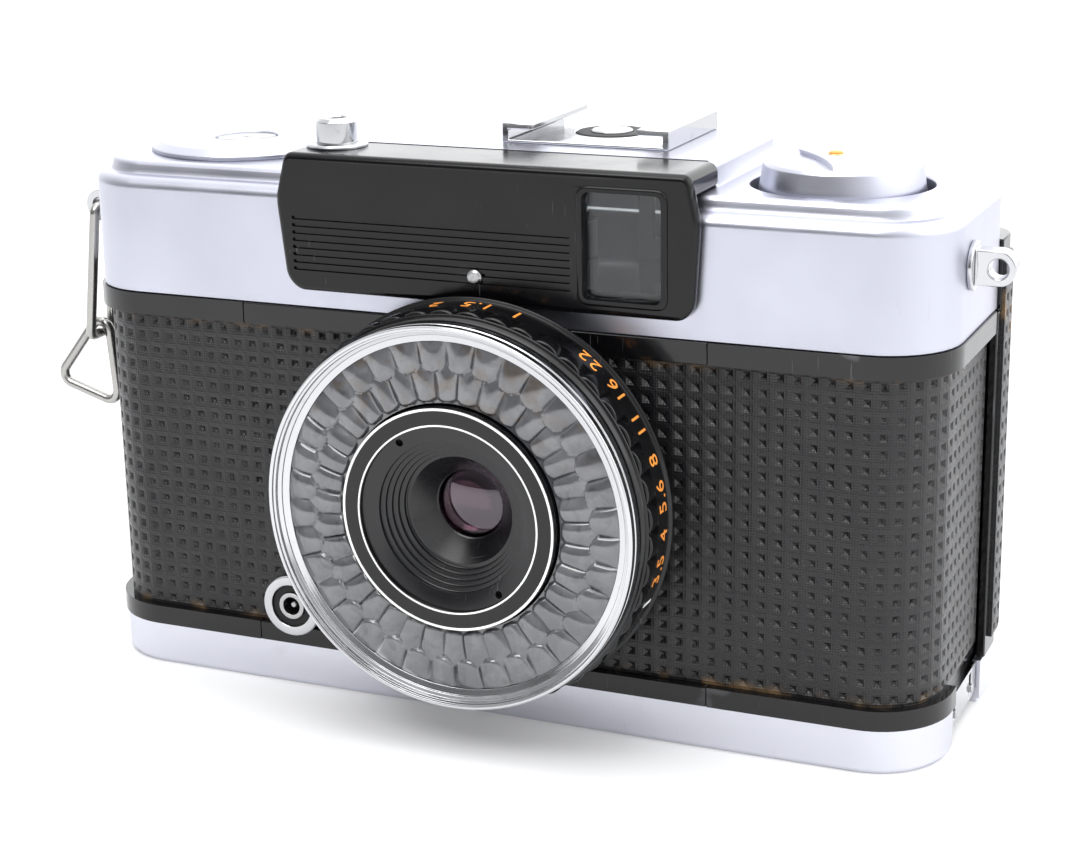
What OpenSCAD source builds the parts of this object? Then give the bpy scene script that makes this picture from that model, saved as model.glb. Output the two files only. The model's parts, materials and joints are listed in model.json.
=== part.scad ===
// Half frame viewfinder camera with a fixed lens, a selenium meter ring and a hinged back.
// The lens looks along -Y, +X is to the right of a viewer in front of it and +Z is up.
// The origin is the mouth of the tripod socket, straight below the lens axis.

/* [Body] */
// Distance from the lens axis to the left end of the body
left_reach = 56.4; // [56.3:0.1:57]
// Distance from the lens axis to the right end of the body
right_reach = 53; // [52.6:0.1:53.6]
// Distance from the tripod socket to the front of the black bands
front_reach = 15; // [14.9:0.1:15.2]
// Plan radius of the two front corners
front_corner = 9; // [8:0.5:11]
// Distance from the tripod socket to the back of the door
door_back = 19.6; // [19.4:0.1:20]

/* [Levels] */
// Height of the silver base plate
base_top = 5.4; // [5.2:0.1:5.6]
// Top of the lower black band, where the leatherette starts
leather_bottom = 7.8; // [7.6:0.1:8.2]
// Bottom of the upper black band, where the leatherette ends
leather_top = 46.1; // [45.8:0.1:46.4]
// Bottom edge of the top cover
cover_bottom = 48.7; // [48.4:0.1:49]
// Height of the ledge that runs round the top cover
ledge_top = 63; // [62.6:0.1:63.2]
// Height of the raised deck of the top cover
deck_top = 64.6; // [64.4:0.1:64.8]
// Height of the finder hump and of the black panel's roof
hump_top = 67.4; // [67.2:0.1:67.8]

/* [Lens] */
// Height of the lens axis
lens_z = 28.9; // [28.7:0.1:29.1]
// Outer diameter of the chrome front ring
bezel_d = 45; // [44.6:0.1:45.2]
// Distance from the tripod socket to the front of the chrome ring
bezel_reach = 28; // [28:0.1:28.4]
// Major diameter of the filter thread
filter_thread_d = 43.5; // [43:0.1:43.6]
// Outer diameter of the numbered ring
number_ring_d = 46.6; // [46:0.1:47]
// Number of scallops on the grip of the numbered ring
scallops = 44; // [36:1:50]
// Number of bumps in each row of the selenium cell window
cell_bumps = 36; // [30:1:38]

/* [Film] */
// Width of the film gate, which stands upright on half frame
gate_w = 18; // [17:0.5:18]
// Height of the film gate
gate_h = 24; // [23:0.5:24]
// Diameter of the film cassette chamber
cassette_chamber_d = 25.2; // [25.1:0.1:25.3]
// Teeth on the thumbwheel's gear
wheel_teeth = 32; // [30:1:34]
// Teeth on the sprocket's gear
sprocket_teeth = 20; // [18:1:22]

/* [Controls] */
// Diameter of the shutter button
button_d = 4.8; // [4.6:0.1:4.9]
// How far the shutter button travels
button_travel = 2; // [1:0.1:2.2]
// Diameter of the thumbwheel
thumbwheel_d = 29; // [28.6:0.1:29.2]
// Diameter of the frame counter's raised disc
counter_d = 23.6; // [22:0.1:24]
// Diameter of the well around the rewind knob
knob_well_d = 20.6; // [20:0.1:21]

/* [Strap hardware] */
// Wire diameter of the strap loop and the triangular ring
wire_d = 1.3; // [1.1:0.1:1.5]
// Diameter of the hole in each strap lug
lug_hole_d = 2.2; // [2:0.1:2.6]

/* [Hidden] */
$fn = 64;

// Small working gaps: between covers, and in a running bearing
gap = 0.3;
running = 0.05;
eps = 0.01;

// Insets of the body's layers from the outline of the black bands
cover_inset = 0.3;
cover_wall = 0.9;
deck_inset = 2.2;
leather_inset = 1;
leather_t = 0.5;
casting_inset = leather_inset + leather_t;
cover_back = 14.9;
casting_back = 13.5;
casting_top = 53.4;
leather_back = 10;

// The plate between the two band seams carries the shutter
plate_left = -32.3;
plate_right = 26.4;
plate_t = 0.8;
plate_front = -front_reach + casting_inset;
seam = 0.08;

// Film chambers
chamber_floor = 6.8;
chamber_roof = 51.4;
film_plane = 11.5;
cassette_x = 37.2;
cassette_y = -0.2;
cassette_nub_r = 5.8;
spool_x = -39.5;
spool_y = 2.6;
spool_chamber_r = 12.4;
sprocket_x = -19.2;
sprocket_y = 6.3;
sprocket_chamber_r = 7;
tunnel_w = 21.6;
tunnel_h = 30;

// Radii along the lens, and where its layers start
shutter_r = 16.4;
neck_r = 17.5;
flange_r = 21.5;
sleeve_r = 20;
sleeve_wall = 1;
flange_front = -18;
flange_back = -front_reach - running;
sleeve_front = -25.6;
number_ring_front = -22;
scallop_front = -24;
speed_ring_back = -24.2;
bezel_r = bezel_d / 2;
cell_r = 20.5;
cell_seat = -25.8;
cone_r = 13.1;
name_r = 10.85;
shutter_front = -17.5;
shutter_back = -9.8;
glass_r = 4.3;
blade_pivot = 9.05;
blade_pin_r = 0.7;

// Finder panel and the parts seen through it
panel_front = -16.5;
panel_back = -6.9;
panel_bottom = 51.1;
panel_wall = 1.1;
window_left = 12.4;
window_right = 21.7;
window_bottom = 52.9;
window_top = 65;
rib_count = 7;

// Controls on the top
button_x = -21;
button_y = -10.5;
button_top = hump_top + 1.4 + button_travel;
button_foot = 60.5;
counter_x = -40.3;
counter_y = 1.3;
counter_top = 65.9;
dial_x = -33.5;
dial_r = 9;
counter_window_r = 3.9;
wheel_z0 = 57.4;
wheel_z1 = 60.6;
gear_z0 = 53.9;
gear_z1 = 55.5;
shoe_x = 7;
shoe_y0 = -2.5;
shoe_y1 = 14.5;
knob_floor = 60.4;
knob_top = 67.3;
knob_turn = -58;
rewind_r = 2.2;
collar_r = 3;

// Gear pair between the thumbwheel and the sprocket
gear_span = norm([sprocket_x - spool_x, sprocket_y - spool_y]);
gear_angle = atan2(sprocket_y - spool_y, sprocket_x - spool_x);
gear_module = 2 * gear_span / (wheel_teeth + sprocket_teeth);

// Back door and its latch
door_bottom = base_top + gap;
door_top = 56.7;
door_wall = 1;
door_corner = 4.5;
door_flange_front = leather_back + gap;
cover_notch_z = 57;
cover_notch_y = 11.5;
hinge_x = -54.7;
hinge_y = 17;
pin_r = 0.8;
knuckle_r = 1.5;
knuckle_low = 18;
knuckle_high = 44;
latch_x = 51.7;
latch_bottom = 1.5;
latch_y0 = -3.6;
latch_y1 = 9.3;
latch_pin_y = [-1.4, 6.7];

// Strap hardware
lug_z = 56.8;
lug_y = -3;
lug_reach = 3.1;
lug_t = 2.4;
loop_angle = 7;
loop_length = 17.3;
loop_width = 4.6;
ring_half_base = 2.8;
ring_drop = 7.2;
ring_bend = 1.4;
ring_lean = 17;

// Outline of the body in plan, drawn inward from the black bands
module plan(inset, back_y, back_r) {
    x0 = -left_reach + inset;
    x1 = right_reach - inset;
    y0 = -front_reach + inset;
    rf = front_corner - inset;
    translate([x0 + rf, y0]) square([x1 - x0 - 2 * rf, back_y - y0]);
    translate([x0, y0 + rf]) square([x1 - x0, back_y - back_r - y0 - rf]);
    translate([x0 + back_r, y0 + rf]) square([x1 - x0 - 2 * back_r, back_y - y0 - rf]);
    for (x = [x0 + rf, x1 - rf]) translate([x, y0 + rf]) circle(rf);
    for (x = [x0 + back_r, x1 - back_r]) translate([x, back_y - back_r]) circle(back_r);
}

module slab(z0, z1, inset, back_y, back_r) {
    translate([0, 0, z0]) linear_extrude(z1 - z0) plan(inset, back_y, back_r);
}

// Box from its low corner to its high corner
module box(low, high) {
    translate(low) cube(high - low);
}

// Cylinder standing on z0
module post(x, y, z0, z1, r) {
    translate([x, y, z0]) cylinder(h = z1 - z0, r = r);
}

// Cylinder that runs front to back
module bar_y(x, z, y0, y1, r) {
    translate([x, y0, z]) rotate([-90, 0, 0]) cylinder(h = y1 - y0, r = r);
}

// Solid turned about the lens axis from [radius, y] points
module lens_turned(points) {
    translate([0, 0, lens_z]) rotate([-90, 0, 0]) rotate_extrude($fn = 96) polygon(points);
}

module lens_ring(r_in, r_out, y0, y1) {
    lens_turned([[r_in, y0], [r_out, y0], [r_out, y1], [r_in, y1]]);
}

// Solid turned about a vertical axis from [radius, z] points
module upright_turned(x, y, points) {
    translate([x, y, 0]) rotate_extrude() polygon(points);
}

// Torus section, used for bent wire
module wire_bend(bend_r, angle) {
    rotate_extrude(angle = angle) translate([bend_r, 0]) circle(wire_d / 2, $fn = 24);
}

// Spur gear with straight flanks and some backlash
module gear(teeth, z0, z1, bore_r) {
    m = gear_module;
    root_r = m * (teeth - 2.6) / 2;
    tip_r = m * (teeth + 1.8) / 2;
    translate([0, 0, z0]) difference() {
        linear_extrude(z1 - z0) {
            circle(root_r);
            for (i = [0:teeth - 1]) rotate(i * 360 / teeth) {
                polygon([[root_r - 0.3, -0.72 * m], [tip_r, -0.2 * m],
                    [tip_r, 0.2 * m], [root_r - 0.3, 0.72 * m]]);
            }
        }
        translate([0, 0, -1]) cylinder(h = z1 - z0 + 2, r = bore_r);
    }
}

// ---- Body -----------------------------------------------------------------

// One black band, without the stretch that belongs to the front plate
module end_band(z0, z1) {
    difference() {
        slab(z0, z1, 0, leather_back, 0.5);
        box([plate_left - seam, -front_reach - 1, z0 - 1], [plate_right + seam, 0, z1 + 1]);
    }
}

module film_rail(offset, high, depth) {
    for (side = [-1, 1]) {
        box([-12, film_plane - 1, lens_z + side * offset - high / 2],
            [12, film_plane + depth, lens_z + side * offset + high / 2]);
    }
}

module body_casting() {
    color("#1b1b1d") {
        difference() {
            union() {
                slab(base_top, casting_top, casting_inset, casting_back, 3);
                end_band(base_top, leather_bottom);
                end_band(leather_top, cover_bottom);
                // Block under the right end that guides the latch
                box([46, latch_y0 - 0.2, latch_bottom - 0.2], [latch_x - 0.4, latch_y1 + 0.1, base_top + 1]);
                // Middle knuckle of the door hinge
                post(hinge_x, hinge_y, knuckle_low + gap, knuckle_high - gap, knuckle_r);
                box([hinge_x - 0.7, 10.4, knuckle_low + gap], [hinge_x + 0.7, hinge_y, knuckle_high - gap]);
            }
            // Seat of the front plate, opening for the shutter
            box([plate_left, -front_reach - 1, base_top - 1],
                [plate_right, plate_front + plate_t, cover_bottom + 0.1]);
            bar_y(0, lens_z, -front_reach, -4.5, neck_r + 0.1);
            bar_y(-27.4, 10.7, -front_reach, -7.5, 3.6);
            // Light tunnel and film gate
            box([-tunnel_w / 2, -5, lens_z - tunnel_h / 2], [tunnel_w / 2, 8.5, lens_z + tunnel_h / 2]);
            box([-gate_w / 2, 8, lens_z - gate_h / 2], [gate_w / 2, casting_back + 1, lens_z + gate_h / 2]);
            box([-27, film_plane, chamber_floor + 1.2], [25, casting_back + 1, chamber_roof - 1.2]);
            // Cassette chamber
            post(cassette_x, cassette_y, chamber_floor, chamber_roof, cassette_chamber_d / 2);
            box([cassette_x - cassette_chamber_d / 2, cassette_y, chamber_floor],
                [cassette_x + cassette_chamber_d / 2, casting_back + 1, chamber_roof]);
            post(cassette_x, cassette_y, base_top - 1, chamber_floor + 1, cassette_nub_r);
            post(cassette_x, cassette_y, chamber_roof - 1, casting_top + 1, collar_r + running);
            // Take-up chamber
            post(spool_x, spool_y, chamber_floor, chamber_roof, spool_chamber_r);
            box([spool_x - spool_chamber_r, spool_y, chamber_floor],
                [spool_x + spool_chamber_r, casting_back + 1, chamber_roof]);
            post(spool_x, spool_y, base_top - 1, chamber_floor + 1, 2 + running);
            post(spool_x, spool_y, chamber_roof - 1, casting_top + 1, 3 + running);
            // Sprocket chamber
            post(sprocket_x, sprocket_y, chamber_floor + 0.2, chamber_roof - 0.6, sprocket_chamber_r);
            box([sprocket_x - sprocket_chamber_r, sprocket_y, chamber_floor + 0.2],
                [sprocket_x + sprocket_chamber_r, casting_back + 1, chamber_roof - 0.6]);
            post(sprocket_x, sprocket_y, base_top - 1, casting_top + 1, 1.5 + running);
            // The lower band stops short of the latch at the right end
            box([latch_x - 0.3, latch_y0 - 0.6, base_top - 1], [right_reach + 1, leather_back + 1, leather_bottom]);
            // Hinge pin seat and screw holes
            post(hinge_x, hinge_y, knuckle_low, knuckle_high, pin_r);
            base_screw_places() post(0, 0, base_top - 1, chamber_floor + eps, 0.95);
        }
        film_rail(17.6, 1.4, 0.4);
        film_rail(12.9, 0.8, 0.25);
    }
}

// Black plate behind the lens with its stretch of the two bands
module front_plate() {
    color("#202022") difference() {
        union() {
            box([plate_left, plate_front, base_top], [plate_right, plate_front + plate_t, cover_bottom]);
            box([plate_left, -front_reach, base_top], [plate_right, plate_front + eps, leather_bottom]);
            box([plate_left, -front_reach, leather_top], [plate_right, plate_front + eps, cover_bottom]);
        }
        bar_y(0, lens_z, -front_reach - 1, -front_reach + 3, neck_r + 0.1);
        bar_y(-27.4, 10.7, -front_reach - 1, -front_reach + 3, 3.5);
    }
}

module front_leatherette() {
    color("#161616") difference() {
        slab(leather_bottom, leather_top, leather_inset, leather_back, 0.3);
        slab(leather_bottom - 1, leather_top + 1, casting_inset, leather_back + 3, 0.3);
        bar_y(0, lens_z, -front_reach, 0, neck_r + 0.2);
        bar_y(-27.4, 10.7, -front_reach, 0, 3.5);
    }
}

module base_screw_places() {
    for (p = [[-46, 3], [-8, 8], [43, -8]]) translate([p[0], p[1], 0]) children();
}

module base_plate() {
    color("#c9cbd3") difference() {
        union() {
            slab(0.5, base_top, cover_inset, door_back - 0.4, 4);
            slab(0, 0.6, cover_inset + 0.4, door_back - 0.8, 3.6);
        }
        difference() {
            slab(1.3, base_top + 1, cover_inset + 1, door_back - 1.4, 3);
            base_screw_places() post(0, 0, 0, base_top + 2, 2.4);
        }
        // Corner that the latch takes up
        box([45.6, latch_y0 - 0.6, -1], [right_reach + 1, latch_y1 + 0.5, base_top + 1]);
        post(0, 0, -1, base_top + 1, 5);
        post(sprocket_x, sprocket_y, -1, 3, 2.8);
        base_screw_places() post(0, 0, -1, 1, 1.9);
        base_screw_places() post(0, 0, -1, base_top + 1, 0.95);
    }
}

module base_screws() {
    color("#b9bbc0") base_screw_places() difference() {
        union() {
            post(0, 0, 0.1, 1, 1.8);
            post(0, 0, 0.9, chamber_floor - 0.1, 0.9);
        }
        box([-2, -0.2, -1], [2, 0.2, 0.5]);
    }
}

module tripod_bush() {
    color("#a9abb0") difference() {
        post(0, 0, 0, base_top, 5);
        post(0, 0, -1, base_top - 0.6, 3.175);
    }
}

// ---- Top cover ------------------------------------------------------------

module hump(z0, z1, shrink) {
    box([-25.3 + shrink, panel_back, z0], [24.6 - shrink, cover_back - shrink, z1]);
}

module top_cover() {
    color("#d3d5dd") difference() {
        union() {
            difference() {
                union() {
                    slab(cover_bottom, ledge_top, cover_inset, cover_back, 4.5);
                    slab(ledge_top - 1, deck_top, deck_inset, 13.3, 3);
                    hump(ledge_top - 1, hump_top, 0);
                }
                slab(cover_bottom - 1, ledge_top - cover_wall,
                    cover_inset + cover_wall, cover_back - cover_wall, 3.6);
                slab(ledge_top - 2, deck_top - cover_wall, deck_inset + cover_wall, 13.3 - cover_wall, 2.1);
                hump(ledge_top - 2, hump_top - cover_wall, cover_wall);
            }
            // Well of the rewind knob
            post(cassette_x, cassette_y, knob_floor, deck_top - 0.1, knob_well_d / 2 + 0.7);
            // Stud that the counter dial turns on
            post(dial_x, counter_y, 61.6, deck_top - 0.2, 1);
        }
        post(cassette_x, cassette_y, knob_floor + 0.8, deck_top + 1, knob_well_d / 2);
        post(cassette_x, cassette_y, knob_floor - 1, deck_top + 1, collar_r + running);
        // Notches over the top edge of the door, slot for the thumbwheel
        box([-left_reach - 1, cover_notch_y, cover_bottom - 1],
            [right_reach + 1, cover_back + 1, cover_notch_z]);
        box([spool_x - 10.4, cover_back - 2, wheel_z0 - 0.6],
            [spool_x + 10.4, cover_back + 1, wheel_z1 + 0.6]);
        // Front opening behind the finder panel
        box([-24.6, -front_reach - 1, 52.5], [23.8, panel_back + eps, hump_top + 1]);
        // Counter window and eyepiece
        post(counter_x, counter_y, deck_top - 2, deck_top + 1, counter_window_r + 1);
        box([13.1, cover_back - 2, 57.5], [20.9, cover_back + 1, 64.7]);
    }
}

module panel_outline() {
    polygon([[-25, hump_top], [-26.4, 62], [-25.4, 52.6], [-23.9, panel_bottom], [24, panel_bottom],
             [25.3, 52.6], [25.9, 62], [24.8, hump_top]]);
}

// Extrudes an outline drawn in X and Z towards the back
module facing_front(y0, y1) {
    translate([0, y1, 0]) rotate([90, 0, 0]) linear_extrude(y1 - y0) children();
}

module finder_panel() {
    inner_x0 = -24.5 + gap;
    inner_x1 = 23.7 - gap;
    color("#18181a") difference() {
        union() {
            facing_front(panel_front, -front_reach + cover_inset) panel_outline();
            intersection() {
                facing_front(panel_front, panel_back) panel_outline();
                box([-30, panel_front, deck_top], [30, panel_back, hump_top]);
            }
            // Raised frame around the window
            box([window_left - 0.9, panel_front - 0.3, window_bottom - 0.9],
                [window_right + 0.9, panel_front + 1, window_top + 0.9]);
        }
        box([inner_x0, -front_reach - 0.2, 52.6], [inner_x1, panel_back + 1, hump_top - panel_wall]);
        box([window_left, panel_front - 1, window_bottom], [window_right, -front_reach + 1, window_top]);
        // Field of horizontal ribs
        difference() {
            box([-24.2, panel_front - 1, 53.6], [10.9, panel_front + 0.35, 60]);
            for (i = [0:rib_count - 1]) {
                z = 54 + i * 6 / rib_count;
                box([-24.2, panel_front, z], [10.9, panel_front + 1, z + 0.45]);
            }
        }
        bar_y(-0.8, 54.4, panel_front - 1, -front_reach + 1, 0.7);
        post(button_x, button_y, 60, hump_top + 1, 3);
    }
}

module panel_rivet() {
    color("#cfd0d4") {
        bar_y(-0.8, 54.4, panel_front - 0.45, panel_front, 0.95);
        bar_y(-0.8, 54.4, panel_front - eps, -front_reach, 0.7);
    }
}

module finder_window() {
    color("#8f979c") box([window_left, -15.6, window_bottom], [window_right, -14.9, window_top]);
}

module finder_frame_mask() {
    color("#3a3c40") difference() {
        box([11.6, 3, casting_top], [22.6, 3.6, 65]);
        box([13.6, 2, 56], [20.6, 5, 63.4]);
    }
}

module finder_eyepiece() {
    color("#8fa0a8") box([13.1, cover_back - 1.8, 57.5], [20.9, cover_back - 0.1, 64.7]);
}

module hot_shoe_rails() {
    rail_top = hump_top + 2.3;
    color("#c4c6cb") {
        // Sole with a hole for the contact
        difference() {
            box([shoe_x - 10.4, shoe_y0, hump_top], [shoe_x + 10.4, shoe_y1, hump_top + 0.4]);
            post(shoe_x, 6.3, hump_top - 1, hump_top + 1, 4.4);
        }
        for (side = [-1, 1]) translate([shoe_x, 0, 0]) mirror([side < 0 ? 1 : 0, 0, 0]) {
            box([9.6, shoe_y0, hump_top + 0.4 - eps], [10.4, shoe_y1, rail_top]);
            box([6.45, shoe_y0, rail_top - 0.7], [10.4, shoe_y1, rail_top]);
        }
    }
}

module hot_shoe_insulator() {
    color("#1d1d1f") difference() {
        post(shoe_x, 6.3, hump_top, hump_top + 0.5, 4.3);
        post(shoe_x, 6.3, hump_top - 1, hump_top + 1, 2.5);
    }
}

module hot_shoe_contact() {
    color("#d8d8da") post(shoe_x, 6.3, hump_top, hump_top + 0.75, 2.5);
}

module counter_bezel() {
    r = counter_d / 2;
    color("#d6d8df") difference() {
        upright_turned(counter_x, counter_y, [[0, deck_top], [r, deck_top], [r, deck_top + 0.5],
            [r - 1.2, counter_top], [0, counter_top]]);
        post(counter_x, counter_y, deck_top - 1, counter_top + 1, counter_window_r);
    }
}

module counter_window() {
    color("#8d9398") post(counter_x, counter_y, counter_top - 0.9, counter_top - 0.2, counter_window_r);
}

module counter_dial() {
    color("#202124") difference() {
        post(dial_x, counter_y, 62.2, 62.8, dial_r);
        post(dial_x, counter_y, 61, 64, 1 + running);
    }
}

// ---- Shutter release ------------------------------------------------------

module shutter_collar() {
    color("#d9dadd") difference() {
        union() {
            post(button_x, button_y, hump_top, hump_top + 0.5, 3.65);
            post(button_x, button_y, 58, hump_top + eps, 3);
        }
        post(button_x, button_y, 50, hump_top + 2, button_d / 2 + running);
    }
}

module shutter_button() {
    r = button_d / 2;
    color("#e2e3e6") difference() {
        upright_turned(button_x, button_y, [[0, button_foot], [r, button_foot], [r, button_top - 0.4],
            [r - 0.4, button_top], [0, button_top]]);
        post(button_x, button_y, button_top - 4, button_top + 1, 1.2);
    }
}

// Points of a ring of wire section, swept up a helix
function helix_point(turn, section) =
    let (a = 360 * turn, r = 1.75 + 0.22 * cos(section))
    [r * cos(a), r * sin(a), 0.25 + turn * 6.6 / 7 + 0.22 * sin(section)];

module button_spring() {
    steps = 84;
    sides = 6;
    points = [for (i = [0:steps]) for (k = [0:sides - 1]) helix_point(7 * i / steps, -360 * k / sides)];
    walls = [for (i = [0:steps - 1]) for (k = [0:sides - 1])
        [i * sides + k, i * sides + (k + 1) % sides,
            (i + 1) * sides + (k + 1) % sides, (i + 1) * sides + k]];
    low_end = [for (k = [0:sides - 1]) sides - 1 - k];
    high_end = [for (k = [0:sides - 1]) steps * sides + k];
    color("#b0b2b6") translate([button_x, button_y, casting_top])
        polyhedron(points, concat([low_end], walls, [high_end]));
}

// ---- Film transport -------------------------------------------------------

module advance_wheel() {
    r = thumbwheel_d / 2;
    color("#26272a") difference() {
        post(spool_x, spool_y, wheel_z0, wheel_z1, r);
        for (i = [0:47]) translate([spool_x, spool_y, 0]) rotate(i * 7.5)
            post(r + 0.15, 0, wheel_z0 - 1, wheel_z1 + 1, 0.55);
        post(spool_x, spool_y, wheel_z0 + 1.6, wheel_z1 + 1, r - 3);
        post(spool_x, spool_y, wheel_z0 - 1, wheel_z1 + 1, 1.6);
    }
}

module advance_gear() {
    color("#b89b55") translate([spool_x, spool_y, 0]) {
        rotate(gear_angle) gear(wheel_teeth, gear_z0, gear_z1, 1.6);
        difference() {
            post(0, 0, chamber_roof + 0.2, wheel_z0, 3);
            post(0, 0, chamber_roof - 1, wheel_z0 + 1, 1.6);
        }
    }
}

module take_up_spool() {
    color("#2a2b2e") difference() {
        union() {
            post(spool_x, spool_y, 8.6, 49, 5.8);
            post(spool_x, spool_y, 8.6, 10.2, 7.6);
            post(spool_x, spool_y, 47.6, 49, 7.6);
            post(spool_x, spool_y, base_top + 0.2, 9, 2);
            post(spool_x, spool_y, 48, wheel_z0 + 1, 1.55);
        }
        for (a = [0, 120, 240]) translate([spool_x, spool_y, 0]) rotate(a) box([3, -0.5, 14], [8, 0.5, 44]);
    }
}

module sprocket_shaft() {
    color("#c3c4c8") {
        post(sprocket_x, sprocket_y, 8, 50, 4.2);
        post(sprocket_x, sprocket_y, chamber_floor - 0.4, gear_z1, 1.5);
        for (z = [lens_z - 14.2, lens_z + 14.2]) translate([sprocket_x, sprocket_y, z]) {
            post(0, 0, -2, 2, 5.1);
            for (i = [0:7]) rotate(i * 45) box([4, -0.6, -0.7], [6.1, 0.6, 0.7]);
        }
    }
}

module sprocket_gear() {
    color("#b89b55") translate([sprocket_x, sprocket_y, 0])
        rotate(gear_angle + 180 + 180 / sprocket_teeth) gear(sprocket_teeth, gear_z0, gear_z1, 1.5);
}

module rewind_knob() {
    z0 = knob_floor + 1.4;
    face = knob_top - 0.1;
    hollow = face - 0.5;
    color("#d2d4da") {
        upright_turned(cassette_x, cassette_y,
            [[0, z0], [9.5, z0], [9.4, 64], [8.8, face - 0.4], [8.4, face], [7.6, face],
             [7.2, hollow], [0, hollow]]);
        // Finger bar between two hollows
        difference() {
            post(cassette_x, cassette_y, hollow - eps, knob_top, 8.2);
            translate([cassette_x, cassette_y, 0]) for (side = [-1, 1]) {
                rotate(knob_turn) translate([0, side * 26.1, 0]) post(0, 0, hollow, knob_top + 1, 24);
            }
        }
    }
}

module rewind_dot() {
    color("#e08a2c") translate([cassette_x, cassette_y, 0]) rotate(knob_turn)
        post(-2.9, 0, knob_top, knob_top + 0.3, 0.8);
}

module rewind_fork() {
    color("#b7b9be") difference() {
        post(cassette_x, cassette_y, 46.4, knob_floor + 1.4, rewind_r);
        box([cassette_x - 0.7, cassette_y - 4, 46], [cassette_x + 0.7, cassette_y + 4, 50]);
    }
}

module rewind_collar() {
    color("#a8aaae") difference() {
        post(cassette_x, cassette_y, chamber_roof + 0.2, knob_floor + 1, collar_r);
        post(cassette_x, cassette_y, 50, 63, rewind_r + running);
    }
}

module rewind_release() {
    color("#c8c9cd") {
        post(sprocket_x, sprocket_y, 0.3, 1.8, 2.7);
        post(sprocket_x, sprocket_y, 1.7, base_top - 0.2, 1.2);
    }
}

// ---- Lens -----------------------------------------------------------------

module lens_barrel() {
    color("#1a1a1c") lens_turned([
        [neck_r - 1, plate_front + plate_t], [neck_r - 1, flange_front],
        [sleeve_r - sleeve_wall, flange_front],
        [sleeve_r - sleeve_wall, sleeve_front], [sleeve_r, sleeve_front], [sleeve_r, flange_front],
        [flange_r, flange_front], [flange_r, flange_back], [neck_r, flange_back],
        [neck_r, plate_front + plate_t]]);
}

module shutter_housing() {
    color("#2b2c2f") {
        lens_turned([
            [5.2, shutter_front], [shutter_r, shutter_front], [shutter_r, shutter_back],
            [glass_r + 1.2, shutter_back], [glass_r + 1.2, -5.6], [glass_r, -5.6], [glass_r, -10.8],
            [15.5, -10.8], [15.5, -16.3], [5.2, -16.3]]);
        for (side = [-1, 1]) bar_y(side * blade_pivot, lens_z + blade_pivot, -16.4, -10.7, blade_pin_r);
    }
}

// Shutter blade that swings about a pin at its upper end
module shutter_blade(side, y0) {
    arm = blade_pivot * sqrt(2);
    facing_front(y0, y0 + 0.25) translate([side * blade_pivot, lens_z + blade_pivot])
        rotate(side * -45 + 180) difference() {
            union() {
                circle(1.8);
                translate([-1.8, 0]) square([3.6, arm]);
                translate([0, arm]) circle(5);
            }
            circle(blade_pin_r + running);
        }
}

module shutter_blade_a() {
    color("#3d3e42") shutter_blade(1, -13.6);
}

module shutter_blade_b() {
    color("#3d3e42") shutter_blade(-1, -13);
}

// Numbered ring with a scalloped grip in front
module aperture_ring() {
    r = number_ring_d / 2;
    bore = sleeve_r + running;
    grip_r = r + 0.1;
    back = flange_front - 0.2;
    color("#151517") difference() {
        lens_turned([
            [bore, scallop_front], [grip_r, scallop_front],
            [grip_r, number_ring_front], [r, number_ring_front],
            [r, back - 0.5], [r + 0.4, back - 0.4], [r + 0.4, back], [bore, back]]);
        for (i = [0:scallops - 1]) translate([0, 0, lens_z]) rotate([0, i * 360 / scallops, 0])
            bar_y(grip_r + 0.35, 0, scallop_front - 1, number_ring_front, 1);
    }
}

module film_speed_ring() {
    bore = sleeve_r + running;
    color("#17171a") lens_turned([
        [bore, sleeve_front + 0.2], [22.6, sleeve_front + 0.2], [22.9, -24.8], [22.7, -24.7],
        [22.7, -24.5], [23, -24.4], [23.1, speed_ring_back], [bore, speed_ring_back]]);
}

module lens_bezel() {
    thread_r = filter_thread_d / 2;
    color("#e4e5e8") lens_turned([
        [sleeve_r - sleeve_wall, sleeve_front], [sleeve_r - sleeve_wall, cell_seat], [cell_r, cell_seat],
        [cell_r, -26.6], [thread_r, -26.6], [thread_r, -bezel_reach], [bezel_r - 0.2, -bezel_reach],
        [bezel_r, -bezel_reach + 0.2], [bezel_r, sleeve_front]]);
}

// Window of the selenium cell: a ring of glass with two rows of small domes
module selenium_cell() {
    rows = [[18.9, 0.9], [15.9, 0.85]];
    color("#8c8f94") difference() {
        union() {
            lens_ring(cone_r + 0.2, cell_r, -26.4, cell_seat);
            for (row = rows) for (i = [0:cell_bumps - 1]) translate([0, 0, lens_z])
                rotate([0, (i + 0.5) * 360 / cell_bumps, 0]) translate([row[0], -26.35, 0])
                    sphere(row[1] * row[0] * sin(180 / cell_bumps) * 0.6, $fn = 20);
        }
        lens_ring(cone_r - 1, cell_r + 1, cell_seat, cell_seat + 2);
    }
}

module name_ring() {
    color("#18181a") lens_ring(name_r, cone_r, -27.4, -26.8);
}

// Black cell that holds the front group: a smooth cone, fine steps, then a flange with spanner holes
module lens_cell() {
    steps = 5;
    flange = -26.8;
    color("#1c1c1e") difference() {
        lens_turned(concat(
            [[cone_r, flange], [cone_r, shutter_front], [glass_r, shutter_front]],
            [[glass_r, -20.7], [glass_r - 0.25, -20.7], [glass_r - 0.25, -21], [6.4, -23.6]],
            [for (i = [0:steps - 1]) each [
                [6.91 + i * 0.51, -23.6 - i * 0.56], [6.91 + i * 0.51, -24.16 - i * 0.56]]],
            [[name_r, flange]]));
        for (side = [-1, 1]) bar_y(side * 5.92, lens_z - side * 8.3, -28, -25.9, 0.42);
    }
}

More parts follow.
